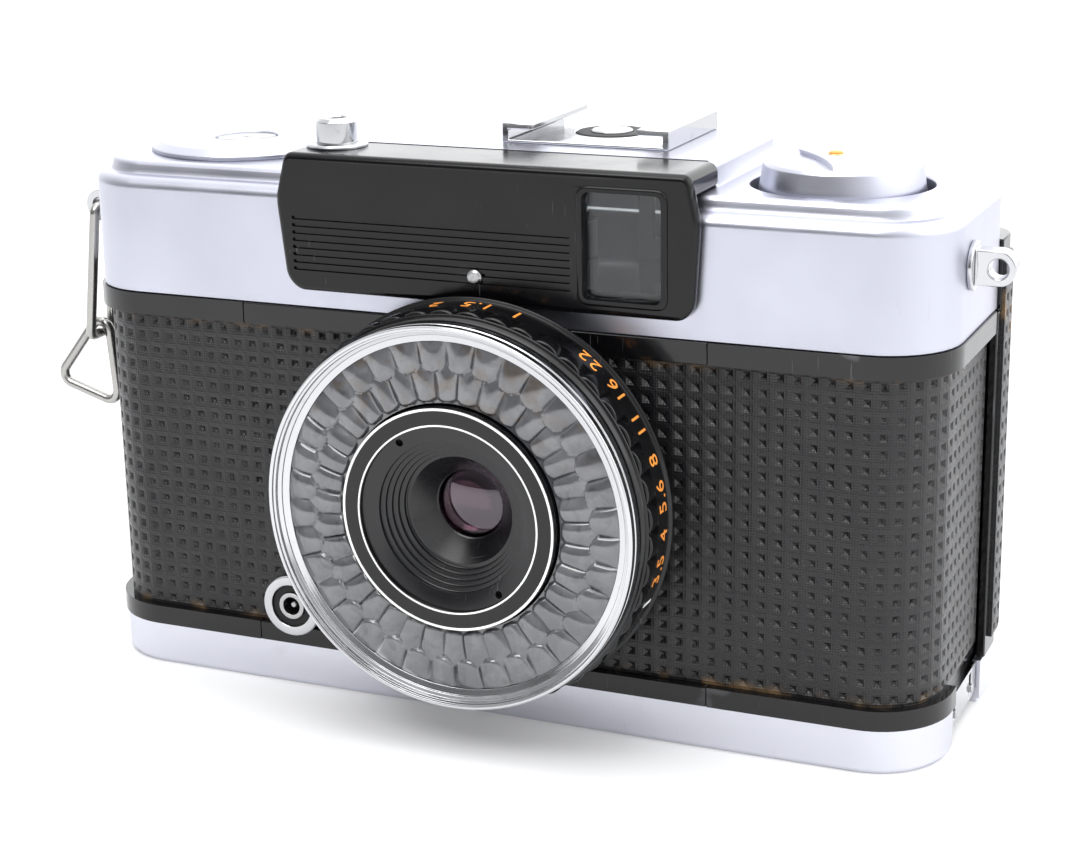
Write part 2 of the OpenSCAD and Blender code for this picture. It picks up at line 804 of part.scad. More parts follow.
// Glass of the front group: a disc with two domed faces
module front_lens() {
    color("#6a4a3a") intersection() {
        bar_y(0, lens_z, -22, -17.6, glass_r, $fn = 128);
        translate([0, -21.2 + 12, lens_z]) sphere(12, $fn = 256);
        translate([0, -18 - 14, lens_z]) sphere(14, $fn = 256);
    }
}

module rear_lens() {
    color("#5d6470") intersection() {
        bar_y(0, lens_z, -10, -5.8, glass_r, $fn = 128);
        translate([0, -9.6 + 14, lens_z]) sphere(14, $fn = 256);
        translate([0, -6.4 - 10, lens_z]) sphere(10, $fn = 256);
    }
}

module sync_socket_shell() {
    color("#cfd0d4") difference() {
        union() {
            bar_y(-27.4, 10.7, -front_reach - 0.8, -front_reach, 3.9);
            bar_y(-27.4, 10.7, -front_reach - 0.1, -8, 3.4);
        }
        bar_y(-27.4, 10.7, -front_reach - 1, -9, 2.7);
    }
}

module sync_socket_insulator() {
    color("#141415") difference() {
        bar_y(-27.4, 10.7, -front_reach - 0.5, -9, 2.7);
        bar_y(-27.4, 10.7, -front_reach - 1, -8, 1.75);
    }
}

module sync_socket_contact() {
    color("#c9b06a") {
        difference() {
            bar_y(-27.4, 10.7, -front_reach - 0.7, -9, 1.75);
            bar_y(-27.4, 10.7, -front_reach - 1, -11, 1.15);
        }
        bar_y(-27.4, 10.7, -front_reach - 0.2, -10.9, 0.4);
    }
}

// ---- Strap hardware -------------------------------------------------------

// Lug drawn on the right end of the body, hole along Y
module strap_lug() {
    wall_x = right_reach - cover_inset;
    color("#c2c4ca") difference() {
        union() {
            translate([wall_x, lug_y, lug_z]) rotate([0, 90, 0]) cylinder(h = 0.6, r = 2.8);
            box([wall_x + 0.5, lug_y - lug_t / 2, lug_z - 2],
                [wall_x + lug_reach, lug_y + lug_t / 2, lug_z + 2]);
            bar_y(wall_x + lug_reach, lug_z, lug_y - lug_t / 2, lug_y + lug_t / 2, 2);
        }
        bar_y(wall_x + lug_reach, lug_z, lug_y - lug_t, lug_y + lug_t, lug_hole_d / 2);
    }
}

module right_strap_lug() {
    strap_lug();
}

module left_strap_lug() {
    translate([right_reach - left_reach, 0, 0]) mirror([1, 0, 0]) strap_lug();
}

lug_left_x = -(left_reach - cover_inset + lug_reach);

// Places its children in the frame of the loop, hanging from the left lug
module from_left_lug() {
    translate([lug_left_x, lug_y, lug_z]) rotate([0, loop_angle, 0]) children();
}

// Long link of wire, drawn in Y and Z
module strap_loop() {
    r = wire_d / 2;
    half = loop_width / 2;
    straight = half - 1;
    color("#8e9096") from_left_lug() {
        for (side = [-1, 1]) {
            post(0, side * half, -loop_length + 1, -1, r);
            translate([0, side * straight, -1]) rotate([90, 0, 90])
                rotate(side > 0 ? 0 : 90) wire_bend(1, 90);
            translate([0, side * straight, -loop_length + 1]) rotate([90, 0, 90])
                rotate(side > 0 ? -90 : 180) wire_bend(1, 90);
        }
        for (z = [0, -loop_length]) bar_y(0, z, -straight, straight, r);
    }
}

// Bends of the triangular ring: centre in X and Z, then the angles where the bend starts and ends
ring_slope = atan2(ring_half_base, ring_drop);
ring_bends = [
    [0, 0, ring_slope, 180 - ring_slope],
    [-ring_half_base, -ring_drop, 180 - ring_slope, 270],
    [ring_half_base, -ring_drop, 270, 360 + ring_slope]
];

// Triangular wire ring that hangs from the loop, swept round its three bends
module strap_triangle() {
    sides = 12;
    steps = 8;
    r = wire_d / 2;
    // The ring's top bend clears the loop's wire
    hub_lift = wire_d + 0.25 - ring_bend;
    rings = [for (b = ring_bends) for (k = [0:steps]) [b[0], b[1], b[2] + (b[3] - b[2]) * k / steps]];
    count = len(rings);
    points = [for (g = rings) for (j = [0:sides - 1])
        let (reach = ring_bend + r * cos(360 * j / sides))
        [g[0] + reach * cos(g[2]), g[1] + reach * sin(g[2]), r * sin(360 * j / sides)]];
    faces = [for (i = [0:count - 1]) for (j = [0:sides - 1])
        let (next = (i + 1) % count, k = (j + 1) % sides)
        [i * sides + j, i * sides + k, next * sides + k, next * sides + j]];
    color("#8e9096") translate([lug_left_x - loop_length * sin(loop_angle), lug_y,
        lug_z - loop_length * cos(loop_angle)]) rotate([90, ring_lean, 0]) translate([0, hub_lift, 0])
        polyhedron(points, faces);
}

// ---- Back door ------------------------------------------------------------

// Plan of the door with its round right corner, drawn inward by the inset
module door_shape(inset) {
    r = door_corner - inset;
    x = right_reach - door_corner;
    y = door_back - door_corner;
    translate([hinge_x - 0.8, 5]) square([x - hinge_x + 0.8, y + r - 5]);
    translate([x - 1, 5]) square([r + 1, y - 5]);
    translate([x, y]) circle(r);
}

module door_section() {
    difference() {
        door_shape(0);
        door_shape(door_wall);
        translate([-80, 0]) square([80 + right_reach - door_corner, door_back - door_wall]);
        translate([-80, 0]) square([160, door_flange_front]);
    }
}

module back_door() {
    color("#1d1d1f") difference() {
        union() {
            translate([0, 0, door_bottom]) linear_extrude(door_top - door_bottom) door_section();
            // Lips along the top and bottom edges
            for (z = [door_bottom, door_top - 1]) {
                intersection() {
                    translate([0, 0, z]) linear_extrude(1) door_shape(0.5);
                    box([-52.4, casting_back + gap, z], [right_reach, door_back, z + 1]);
                }
            }
            // Outer knuckles
            for (z = [[door_bottom, knuckle_low], [knuckle_high, door_top]]) {
                post(hinge_x, hinge_y, z[0], z[1], knuckle_r);
                box([hinge_x - 0.8, hinge_y, z[0]], [hinge_x + 0.8, door_back - 0.5, z[1]]);
            }
            // Studs that carry the pressure plate
            for (z = [lens_z - 13, lens_z + 13]) bar_y(0, z, 14.6, door_back - 0.5, 1);
        }
        box([40, 0, cover_bottom - gap], [60, cover_notch_y + gap, door_top + 1]);
        post(hinge_x, hinge_y, door_bottom - 1, door_top + 1, pin_r + running);
    }
}

module door_leatherette() {
    color("#161616") intersection() {
        translate([0, 0, leather_bottom]) linear_extrude(54.6 - leather_bottom) difference() {
            door_shape(-0.5);
            door_shape(0);
        }
        box([-51, 12, 0], [right_reach + 1, door_back + 1, 60]);
    }
}

module hinge_pin() {
    color("#a6a8ad") post(hinge_x, hinge_y, door_bottom + 0.1, door_top - 0.1, pin_r);
}

module pressure_plate() {
    color("#2a2a2c") difference() {
        union() {
            box([-14, 12.1, lens_z - 18.5], [14, 12.9, lens_z + 18.5]);
            for (z = [lens_z - 13, lens_z + 13]) bar_y(0, z, 12.8, 14, 2);
        }
    }
}

// Bowed leaf spring between the plate and the door
module plate_spring() {
    leaf_t = 0.3;
    seat = 12.9;
    tip = 18.3;
    color("#b4b6ba") translate([-4, 0, lens_z]) rotate([90, 0, 90]) linear_extrude(8) polygon([
        [seat, -5], [seat, 5], [tip, 7.9], [tip, 7.55], [seat + leaf_t, 4.8],
        [seat + leaf_t, -4.8], [tip, -7.55], [tip, -7.9]]);
}

module latch_slide() {
    color("#d4d5d8") difference() {
        box([latch_x - 0.4, latch_y0, latch_bottom], [latch_x + 0.5, latch_y1, base_top]);
        for (y = latch_pin_y) {
            box([latch_x - 2, y - 0.65, latch_bottom + 0.9], [latch_x + 2, y + 0.65, base_top - 0.4]);
        }
    }
}

module latch_pins() {
    color("#8d8f94") for (y = latch_pin_y) {
        translate([latch_x - 0.4, y, latch_bottom + 1.6]) rotate([0, 90, 0]) cylinder(h = 1.2, r = 0.55);
    }
}

// ---- Meter ----------------------------------------------------------------

module meter_movement() {
    color("#5a5c60") {
        post(-1.5, 0, casting_top, 59.6, 6.5);
        box([-9.5, -3, casting_top], [6.5, 3, 58]);
        post(-1.5, 0, 59.5, 61.4, 0.4);
    }
}

module meter_needle() {
    color("#c23b22") translate([-1.5, 0, 60.2]) rotate(-60) difference() {
        union() {
            post(0, 0, 0, 0.8, 1.1);
            box([-3, -0.25, 0.2], [10.5, 0.25, 0.6]);
        }
        post(0, 0, -1, 2, 0.4 + running);
    }
}

body_casting();
front_plate();
front_leatherette();
top_cover();
finder_panel();
finder_window();
finder_frame_mask();
finder_eyepiece();
panel_rivet();
hot_shoe_rails();
hot_shoe_insulator();
hot_shoe_contact();
base_plate();
base_screws();
tripod_bush();
lens_barrel();
shutter_housing();
shutter_blade_a();
shutter_blade_b();
aperture_ring();
film_speed_ring();
lens_bezel();
selenium_cell();
name_ring();
lens_cell();
front_lens();
rear_lens();
sync_socket_shell();
sync_socket_insulator();
sync_socket_contact();
left_strap_lug();
right_strap_lug();
strap_loop();
strap_triangle();
shutter_button();
shutter_collar();
button_spring();
counter_bezel();
counter_dial();
counter_window();
advance_wheel();
advance_gear();
take_up_spool();
sprocket_shaft();
sprocket_gear();
rewind_knob();
rewind_dot();
rewind_fork();
rewind_collar();
rewind_release();
back_door();
door_leatherette();
hinge_pin();
pressure_plate();
plate_spring();
latch_slide();
latch_pins();
meter_movement();
meter_needle();
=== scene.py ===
"""Looks of a half frame viewfinder camera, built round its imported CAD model."""

import json
import math
import random

import bmesh
import bpy
from mathutils import Matrix, Vector

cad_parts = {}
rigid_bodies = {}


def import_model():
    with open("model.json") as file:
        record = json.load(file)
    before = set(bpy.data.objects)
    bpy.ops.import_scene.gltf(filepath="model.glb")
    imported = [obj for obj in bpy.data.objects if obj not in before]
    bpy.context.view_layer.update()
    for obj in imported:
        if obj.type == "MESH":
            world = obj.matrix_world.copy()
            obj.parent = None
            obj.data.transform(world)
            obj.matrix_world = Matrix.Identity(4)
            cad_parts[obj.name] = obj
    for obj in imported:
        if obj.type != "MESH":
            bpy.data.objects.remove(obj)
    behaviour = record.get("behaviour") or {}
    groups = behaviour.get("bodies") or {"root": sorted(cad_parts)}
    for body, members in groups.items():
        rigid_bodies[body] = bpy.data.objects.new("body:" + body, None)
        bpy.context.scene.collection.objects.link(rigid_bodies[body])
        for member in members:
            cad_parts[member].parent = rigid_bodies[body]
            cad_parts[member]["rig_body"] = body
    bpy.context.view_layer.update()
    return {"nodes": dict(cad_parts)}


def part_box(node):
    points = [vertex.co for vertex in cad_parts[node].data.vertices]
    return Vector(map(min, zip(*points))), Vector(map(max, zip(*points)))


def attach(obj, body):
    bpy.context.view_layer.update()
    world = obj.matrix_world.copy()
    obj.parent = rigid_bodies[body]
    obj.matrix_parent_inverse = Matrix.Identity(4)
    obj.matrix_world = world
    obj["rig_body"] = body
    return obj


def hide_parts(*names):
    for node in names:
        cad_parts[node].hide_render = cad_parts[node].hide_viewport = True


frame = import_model()

MM = 0.001
TAU = 2 * math.pi
draw = random.Random(11)


# ---- Places taken from the CAD model, in millimetres -------------------------

def span(node):
    """Lowest and highest corner of a CAD node in millimetres."""
    low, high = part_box(node)
    return low / MM, high / MM


def middle(node):
    low, high = span(node)
    return (low + high) / 2


COVER_LOW, COVER_HIGH = span("top_cover")
SKIN_LOW, SKIN_HIGH = span("front_leatherette")
DOOR_SKIN_LOW, DOOR_SKIN_HIGH = span("door_leatherette")
HOOD_LOW, HOOD_HIGH = span("finder_panel")
PANE_LOW, PANE_HIGH = span("finder_window")
LENS_Z = middle("lens_bezel").z
KNOB = middle("rewind_knob")
BUTTON = middle("shutter_button")
COUNTER = middle("counter_bezel")
DIAL = middle("counter_dial")
CONTACT = middle("hot_shoe_contact")
SOCKET = middle("sync_socket_shell")
RIVET = middle("panel_rivet")
BODY_OF = {n: o["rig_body"] for n, o in frame["nodes"].items()}


# ---- Finishes ----------------------------------------------------------------

class Finish:
    """A Principled material with its detail laid over it in layers, in millimetres."""

    def __init__(self, name, colour, roughness, metallic=0.0, **sockets):
        self.material = bpy.data.materials.new(name)
        self.material.use_nodes = True
        self.tree = self.material.node_tree
        self.shader = self.tree.nodes["Principled BSDF"]
        self.colour = (*colour, 1)
        self.roughness = roughness
        self.shader.inputs["Base Color"].default_value = self.colour
        self.shader.inputs["Roughness"].default_value = roughness
        self.shader.inputs["Metallic"].default_value = metallic
        for key, value in sockets.items():
            self.shader.inputs[key.replace("_", " ")].default_value = value
        coordinate = self.tree.nodes.new("ShaderNodeTexCoord")
        scale = self.tree.nodes.new("ShaderNodeMapping")
        scale.inputs["Scale"].default_value = (1 / MM,) * 3
        self.link(coordinate.outputs["Object"], scale.inputs["Vector"])
        self.place = scale.outputs[0]
        self.bumps = None

    def link(self, a, b):
        self.tree.links.new(a, b)

    def noise(self, size, detail=3.0, stretch=(1, 1, 1), turn=(0, 0, 0), warp=0.0):
        """Noise with features of that size in millimetres, stretched along the axes."""
        mapping = self.tree.nodes.new("ShaderNodeMapping")
        mapping.inputs["Scale"].default_value = [1 / (size * s) for s in stretch]
        mapping.inputs["Rotation"].default_value = [math.radians(t) for t in turn]
        self.link(self.place, mapping.inputs["Vector"])
        texture = self.tree.nodes.new("ShaderNodeTexNoise")
        texture.inputs["Scale"].default_value = 1
        texture.inputs["Detail"].default_value = detail
        texture.inputs["Distortion"].default_value = warp
        self.link(mapping.outputs[0], texture.inputs["Vector"])
        return texture.outputs["Fac"]

    def axis(self, name):
        split = self.tree.nodes.new("ShaderNodeSeparateXYZ")
        self.link(self.place, split.inputs[0])
        return split.outputs[name]

    def map(self, value, low, high, to_low=0.0, to_high=1.0):
        remap = self.tree.nodes.new("ShaderNodeMapRange")
        for key, number in zip(("From Min", "From Max", "To Min", "To Max"),
                               (low, high, to_low, to_high)):
            remap.inputs[key].default_value = number
        self.link(value, remap.inputs["Value"])
        return remap.outputs[0]

    def math(self, operation, a, b):
        node = self.tree.nodes.new("ShaderNodeMath")
        node.operation = operation
        for slot, value in zip(node.inputs, (a, b)):
            if isinstance(value, (int, float)):
                slot.default_value = value
            else:
                self.link(value, slot)
        return node.outputs[0]

    def tint(self, mask, colour):
        """Lays a colour over the base where the mask is 1."""
        mix = self.tree.nodes.new("ShaderNodeMix")
        mix.data_type = "RGBA"
        base = self.shader.inputs["Base Color"]
        if base.is_linked:
            self.link(base.links[0].from_socket, mix.inputs["A"])
        else:
            mix.inputs["A"].default_value = self.colour
        mix.inputs["B"].default_value = (*colour, 1)
        self.link(mask, mix.inputs["Factor"])
        self.link(mix.outputs["Result"], base)
        return self

    def rough(self, mask, low, high, spread=(0.3, 0.7)):
        """Roughness runs from low to high with the mask."""
        self.link(self.map(mask, *spread, low, high), self.shader.inputs["Roughness"])
        return self

    def bump(self, height, depth, strength=1.0):
        """Raises the surface by up to depth millimetres where height is 1."""
        node = self.tree.nodes.new("ShaderNodeBump")
        node.inputs["Strength"].default_value = strength
        node.inputs["Distance"].default_value = depth * MM
        self.link(height, node.inputs["Height"])
        if self.bumps:
            self.link(self.bumps, node.inputs["Normal"])
        self.bumps = node.outputs[0]
        self.link(self.bumps, self.shader.inputs["Normal"])
        return self

    def scratches(self, colour, amount=0.5, turn=(20, 35, 60)):
        """A few hairline marks that run in two directions."""
        one = self.noise(0.25, 1, (26, 1, 26), turn)
        two = self.noise(0.22, 1, (1, 24, 20), (70, 15, -30))
        patches = self.map(self.noise(14, 2), 0.52, 0.66)
        line = self.math("MAXIMUM", self.map(one, 0.715, 0.74), self.map(two, 0.725, 0.75))
        mask = self.math("MULTIPLY", self.math("MULTIPLY", line, patches), amount)
        return self.tint(mask, colour).bump(mask, -0.004)


def satin(name, colour, rough_low, rough_high):
    """Satin chrome: fine grain, cloudy roughness and faint scratches."""
    finish = Finish(name, colour, rough_low, 1.0)
    finish.rough(finish.noise(9, 4), rough_low, rough_high)
    finish.tint(finish.map(finish.noise(16, 4), 0.45, 0.75, 0, 0.35),
                tuple(0.93 * c for c in colour))
    finish.bump(finish.noise(0.16, 2), 0.0035)
    finish.bump(finish.noise(0.6, 2), 0.002)
    return finish.scratches((0.45, 0.45, 0.5), 0.6)


def polished(name, colour, roughness, grime=(0.12, 0.1, 0.09)):
    """Bright metal with dulled patches and grime in places."""
    finish = Finish(name, colour, roughness, 1.0)
    finish.rough(finish.noise(5, 4), roughness, roughness + 0.12)
    finish.tint(finish.map(finish.noise(2.2, 5), 0.62, 0.8, 0, 0.45), grime)
    finish.bump(finish.noise(0.5, 3), 0.0025)
    return finish.scratches((0.3, 0.3, 0.32), 0.35)


def painted(name, colour, rough_low, rough_high, grain=0.004, **sockets):
    """Black paint with slight orange peel, dust and rubbed patches."""
    finish = Finish(name, colour, rough_low, **sockets)
    finish.rough(finish.noise(6, 4), rough_low, rough_high)
    finish.tint(finish.map(finish.noise(11, 5), 0.5, 0.8, 0, 0.5),
                tuple(1.9 * c + 0.002 for c in colour))
    finish.tint(finish.map(finish.noise(0.35, 2), 0.74, 0.8, 0, 0.3), (0.2, 0.19, 0.18))
    finish.bump(finish.noise(0.9, 3), grain)
    return finish.scratches((0.16, 0.16, 0.17), 0.4)


def pebbled_black(name):
    """Moulded leatherette: fine grain, thread lines and traces of old glue."""
    finish = Finish(name, (0.004, 0.004, 0.005), 0.42, Specular_IOR_Level=0.5)
    finish.rough(finish.noise(1.6, 4), 0.24, 0.42)
    finish.tint(finish.map(finish.noise(7, 4), 0.42, 0.72, 0, 0.5), (0.014, 0.0135, 0.014))
    dust = finish.map(finish.noise(0.3, 3), 0.68, 0.78, 0, 0.3)
    finish.tint(dust, (0.2, 0.19, 0.18))
    height = finish.axis("Z")
    rim_low = finish.map(height, SKIN_LOW.z + 0.2, SKIN_LOW.z + 1.3, 1, 0)
    rim_high = finish.map(height, SKIN_HIGH.z - 1.2, SKIN_HIGH.z - 0.1)
    rim = finish.math("MAXIMUM", rim_low, rim_high)
    glue = finish.math("MULTIPLY", rim, finish.map(finish.noise(4.5, 4), 0.5, 0.64, 0, 0.75))
    finish.tint(glue, (0.19, 0.115, 0.05))
    chart = finish.tree.nodes.new("ShaderNodeUVMap")
    chart.uv_map = "cells"
    split = finish.tree.nodes.new("ShaderNodeSeparateXYZ")
    finish.link(chart.outputs[0], split.inputs[0])
    threads = [finish.math("SINE", finish.math("MULTIPLY", split.outputs[n], 6 * TAU), 0)
               for n in ("X", "Y")]
    finish.bump(finish.map(finish.math("MAXIMUM", *threads), -1, 1), 0.03)
    finish.bump(finish.noise(0.22, 3), 0.015)
    return finish


def turned_metal(name, colour, roughness, ridge=0.35):
    """Metal with fine rings left by the lathe, round the lens axis."""
    finish = Finish(name, colour, roughness, 1.0)
    across = finish.math("POWER", finish.math("SUBTRACT", finish.axis("Z"), LENS_Z), 2)
    squared = finish.math("ADD", finish.math("POWER", finish.axis("X"), 2), across)
    radius = finish.math("POWER", squared, 0.5)
    waves = finish.math("SINE", finish.math("MULTIPLY", radius, TAU / ridge), 0)
    finish.bump(finish.map(waves, -1, 1), 0.002)
    finish.rough(finish.noise(5, 4), roughness, roughness + 0.1)
    finish.tint(finish.map(finish.noise(1.4, 4), 0.64, 0.8, 0, 0.3), (0.3, 0.3, 0.31))
    return finish


def clear(name, colour, ior=1.5, roughness=0.03, **sockets):
    """Glass with a little dust on it."""
    finish = Finish(name, colour, roughness, Transmission_Weight=1.0, IOR=ior, **sockets)
    finish.rough(finish.noise(3, 4), roughness, roughness + 0.05)
    return finish


SATIN = satin("satin_chrome", (0.5, 0.51, 0.58), 0.28, 0.38)
# Lighter copy of the satin chrome, worn only by the base plate: its extra brightness is painted
# light, standing in for light that the lamps don't put on the base.
BASE_SATIN_PAINTED_LIGHTER = satin("satin_base_painted_lighter", (0.66, 0.67, 0.735), 0.28, 0.38)
CHROME = polished("bright_chrome", (0.5, 0.505, 0.52), 0.08)
LATHE_CHROME = turned_metal("turned_chrome", (0.55, 0.555, 0.57), 0.12)
STEEL = polished("worn_steel", (0.42, 0.42, 0.425), 0.22)
WIRE = polished("drawn_wire", (0.38, 0.375, 0.36), 0.2)
BLADE = polished("blade_steel", (0.16, 0.16, 0.18), 0.35)
BRASS = polished("brass", (0.72, 0.52, 0.24), 0.25)
ENAMEL = painted("black_enamel", (0.003, 0.003, 0.0035), 0.1, 0.2, Specular_IOR_Level=0.4,
                 Coat_Weight=0.1, Coat_Roughness=0.06)
GLOSS = painted("black_gloss", (0.003, 0.003, 0.0035), 0.14, 0.26, Specular_IOR_Level=0.35,
                Coat_Weight=0.1, Coat_Roughness=0.08)
HOOD = painted("moulded_gloss", (0.002, 0.002, 0.0025), 0.14, 0.24, Specular_IOR_Level=0.25,
               Coat_Weight=0.1, Coat_Roughness=0.12)
MATT = painted("matt_black", (0.012, 0.012, 0.013), 0.5, 0.68, Specular_IOR_Level=0.35)
CONE = painted("anodised_black", (0.004, 0.004, 0.005), 0.2, 0.32, 0.002)
SKIN = pebbled_black("leatherette")
ORANGE = painted("orange_paint", (0.86, 0.31, 0.05), 0.4, 0.55, 0.002)
WHITE = painted("white_paint", (0.82, 0.82, 0.8), 0.4, 0.5, 0.002)
NEEDLE_RED = painted("red_paint", (0.6, 0.05, 0.03), 0.35, 0.5, 0.002)
PANE = clear("finder_pane", (0.6, 0.64, 0.66), 1.45, 0.02)
OPTIC = clear("coated_glass", (0.6, 0.44, 0.36), 1.6, 0.01, Coat_Weight=0.6,
              Coat_Tint=(0.7, 0.5, 0.75, 1), Coat_IOR=1.7)


def cell_finish():
    """Moulded grey window over the light cell, browner near the top right."""
    finish = Finish("cell_window", (0.075, 0.077, 0.085), 0.14, 0.0, IOR=1.5,
                    Specular_IOR_Level=1.0, Coat_Weight=0.7, Coat_Roughness=0.05)
    finish.rough(finish.noise(1.2, 4), 0.1, 0.22)
    finish.tint(finish.map(finish.noise(3.2, 3, warp=0.6), 0.42, 0.6, 0, 0.5), (0.15, 0.152, 0.16))
    finish.tint(finish.map(finish.noise(2.2, 2, warp=0.5), 0.58, 0.68, 0, 0.5),
                (0.03, 0.03, 0.033))
    corner = finish.math("MULTIPLY", finish.map(finish.axis("Z"), LENS_Z + 6, LENS_Z + 15),
                         finish.map(finish.noise(2.4, 4), 0.5, 0.62, 0, 0.6))
    finish.tint(corner, (0.07, 0.045, 0.025))
    return finish.bump(finish.noise(0.9, 2, warp=0.6), 0.02)


CELL = cell_finish()

FINISH_OF_SLOT = {
    "black_enamel": ENAMEL, "leatherette": SKIN, "satin_silver": SATIN, "black_gloss": GLOSS,
    "finder_glass": PANE, "lens_glass": OPTIC, "cell_window": CELL, "chrome_trim": CHROME,
    "steel": STEEL, "wire_steel": WIRE, "blade_steel": BLADE, "black_matt": MATT,
    "brass": BRASS, "orange_paint": ORANGE,
}


# ---- Mesh tools --------------------------------------------------------------

def piece(name, points, faces, sharp=32):
    """Mesh object from points in millimetres, with shared points joined and normals out."""
    mesh = bpy.data.meshes.new(name)
    mesh.from_pydata([[c * MM for c in p] for p in points], [], faces)
    made = bpy.data.objects.new(name, mesh)
    bpy.context.scene.collection.objects.link(made)
    clean(made, sharp)
    return made


def clean(made, sharp=32):
    work = bmesh.new()
    work.from_mesh(made.data)
    bmesh.ops.remove_doubles(work, verts=work.verts, dist=0.0004 * MM)
    bmesh.ops.dissolve_degenerate(work, edges=work.edges, dist=0.0002 * MM)
    bmesh.ops.recalc_face_normals(work, faces=work.faces)
    work.to_mesh(made.data)
    work.free()
    made.data.shade_smooth()
    made.data.set_sharp_from_angle(angle=math.radians(sharp))


def soften(line, radius, steps=3, closed=True):
    """Rounds the corners of a flat line. A point may carry its own radius."""
    out, count = [], len(line)
    for i, point in enumerate(line):
        here = Vector(point[:2])
        if not closed and i in (0, count - 1):
            out.append(tuple(here))
            continue
        back = Vector(line[i - 1][:2]) - here
        ahead = Vector(line[(i + 1) % count][:2]) - here
        own = point[2] if len(point) > 2 else radius
        angle = back.angle(ahead)
        if own <= 0 or angle > math.radians(170):
            out.append(tuple(here))
            continue
        reach = min(own / math.tan(angle / 2), 0.46 * back.length, 0.46 * ahead.length)
        start, end = here + back.normalized() * reach, here + ahead.normalized() * reach
        for k in range(steps + 1):
            t = k / steps
            out.append(tuple(start * (1 - t) ** 2 + here * 2 * t * (1 - t) + end * t ** 2))
    return out


def turned(name, profile, centre, axis="Y", steps=128, radius=0.12, soft=3):
    """Solid of revolution from a closed line of (radius, place along the axis)."""
    line = soften(profile, radius, soft)
    count = len(line)
    points, faces = [], []
    for i in range(steps):
        c, s = math.cos(TAU * i / steps), math.sin(TAU * i / steps)
        for r, h in line:
            points.append((centre[0] + r * c, centre[1] + r * s, h) if axis == "Z"
                          else (centre[0] + r * c, h, centre[1] + r * s))
        for j in range(count):
            a, b = i * count, (i + 1) % steps * count
            faces.append((a + j, a + (j + 1) % count, b + (j + 1) % count, b + j))
    return piece(name, points, faces)


def loft(name, rings, sharp=32):
    """Skin through rings with the same number of points, closed by flat caps."""
    count = len(rings[0])
    points = [p for ring in rings for p in ring]
    faces = [tuple(range(count)), tuple(range((len(rings) - 1) * count, len(rings) * count))]
    for i in range(len(rings) - 1):
        for j in range(count):
            k = (j + 1) % count
            faces.append((i * count + j, i * count + k, (i + 1) * count + k, (i + 1) * count + j))
    return piece(name, points, faces, sharp)


def prism(name, outline, low, high, axis="Z", edge=0.0):
    """Straight prism of an outline: (x, y) along Z, or (x, z) along Y."""
    def at(p, h):
        return (p[0], p[1], h) if axis == "Z" else (p[0], h, p[1])
    made = loft(name, [[at(p, low) for p in outline], [at(p, high) for p in outline]])
    if edge:
        bevel(made, edge)
    return made


def block(name, low, high, edge=0.0, corner=0.0, axis="Z"):
    """Box from corner to corner, with its upright edges rounded by corner."""
    a, b = (0, 1) if axis == "Z" else (0, 2)
    c = 2 if axis == "Z" else 1
    outline = soften([(low[a], low[b]), (high[a], low[b]), (high[a], high[b]),
                      (low[a], high[b])], corner, 5)
    return prism(name, outline, low[c], high[c], axis, edge)


def bevel(made, width, segments=3, angle=38):
    mod = made.modifiers.new("edges", "BEVEL")
    mod.width = width * MM
    mod.segments = segments
    mod.limit_method = "ANGLE"
    mod.angle_limit = math.radians(angle)
    even = made.modifiers.new("even", "WEIGHTED_NORMAL")
    even.keep_sharp = True


def settle(made):
    """Applies a piece's modifiers to its mesh."""
    bpy.context.view_layer.update()
    graph = bpy.context.evaluated_depsgraph_get()
    mesh = bpy.data.meshes.new_from_object(made.evaluated_get(graph))
    made.modifiers.clear()
    made.data = mesh


def combine(made, tools, operation="DIFFERENCE", sharp=32):
    """Joins closed pieces to this one, or cuts them out of it."""
    for tool in tools:
        mod = made.modifiers.new("tool", "BOOLEAN")
        mod.operation = operation
        mod.object = tool
        mod.solver = "EXACT"
    settle(made)
    for tool in tools:
        bpy.data.objects.remove(tool)
    clean(made, sharp)
    return made


def join(made, others):
    """Puts other pieces' meshes into this object as they are."""
    work = bmesh.new()
    for one in [made, *others]:
        work.from_mesh(one.data)
    work.to_mesh(made.data)
    work.free()
    for one in others:
        bpy.data.objects.remove(one)
    made.data.shade_smooth()
    made.data.set_sharp_from_angle(angle=math.radians(32))
    return made


def wear(made, body, slot, *stands_for, finish=None):
    """Gives a piece its finish, the given one or else its slot's, puts it on its body and hides the
    CAD nodes that it stands for.
    """
    made.data.materials.clear()
    made.data.materials.append((finish or FINISH_OF_SLOT[slot]).material)
    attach(made, body)
    if stands_for:
        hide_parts(*stands_for)
    return made


def refined(node, slot, edge=0.15, finish=None, segments=2):
    """A copy of a CAD node's shape with its edges eased, standing for the node."""
    source = frame["nodes"][node]
    mesh = source.data.copy()
    mesh.name = node + "_fine"
    made = bpy.data.objects.new(node + "_fine", mesh)
    bpy.context.scene.collection.objects.link(made)
    work = bmesh.new()
    work.from_mesh(mesh)
    bmesh.ops.remove_doubles(work, verts=work.verts, dist=0.0005 * MM)
    bmesh.ops.dissolve_limit(work, angle_limit=math.radians(0.5), verts=work.verts,
                             edges=work.edges)
    work.to_mesh(mesh)
    work.free()
    if "custom_normal" in mesh.attributes:
        mesh.attributes.remove(mesh.attributes["custom_normal"])
    mesh.shade_smooth()
    mesh.set_sharp_from_angle(angle=math.radians(38))
    if edge:
        bevel(made, edge, segments)
    return wear(made, BODY_OF[node], slot, node, finish=finish)


# ---- Top cover ---------------------------------------------------------------

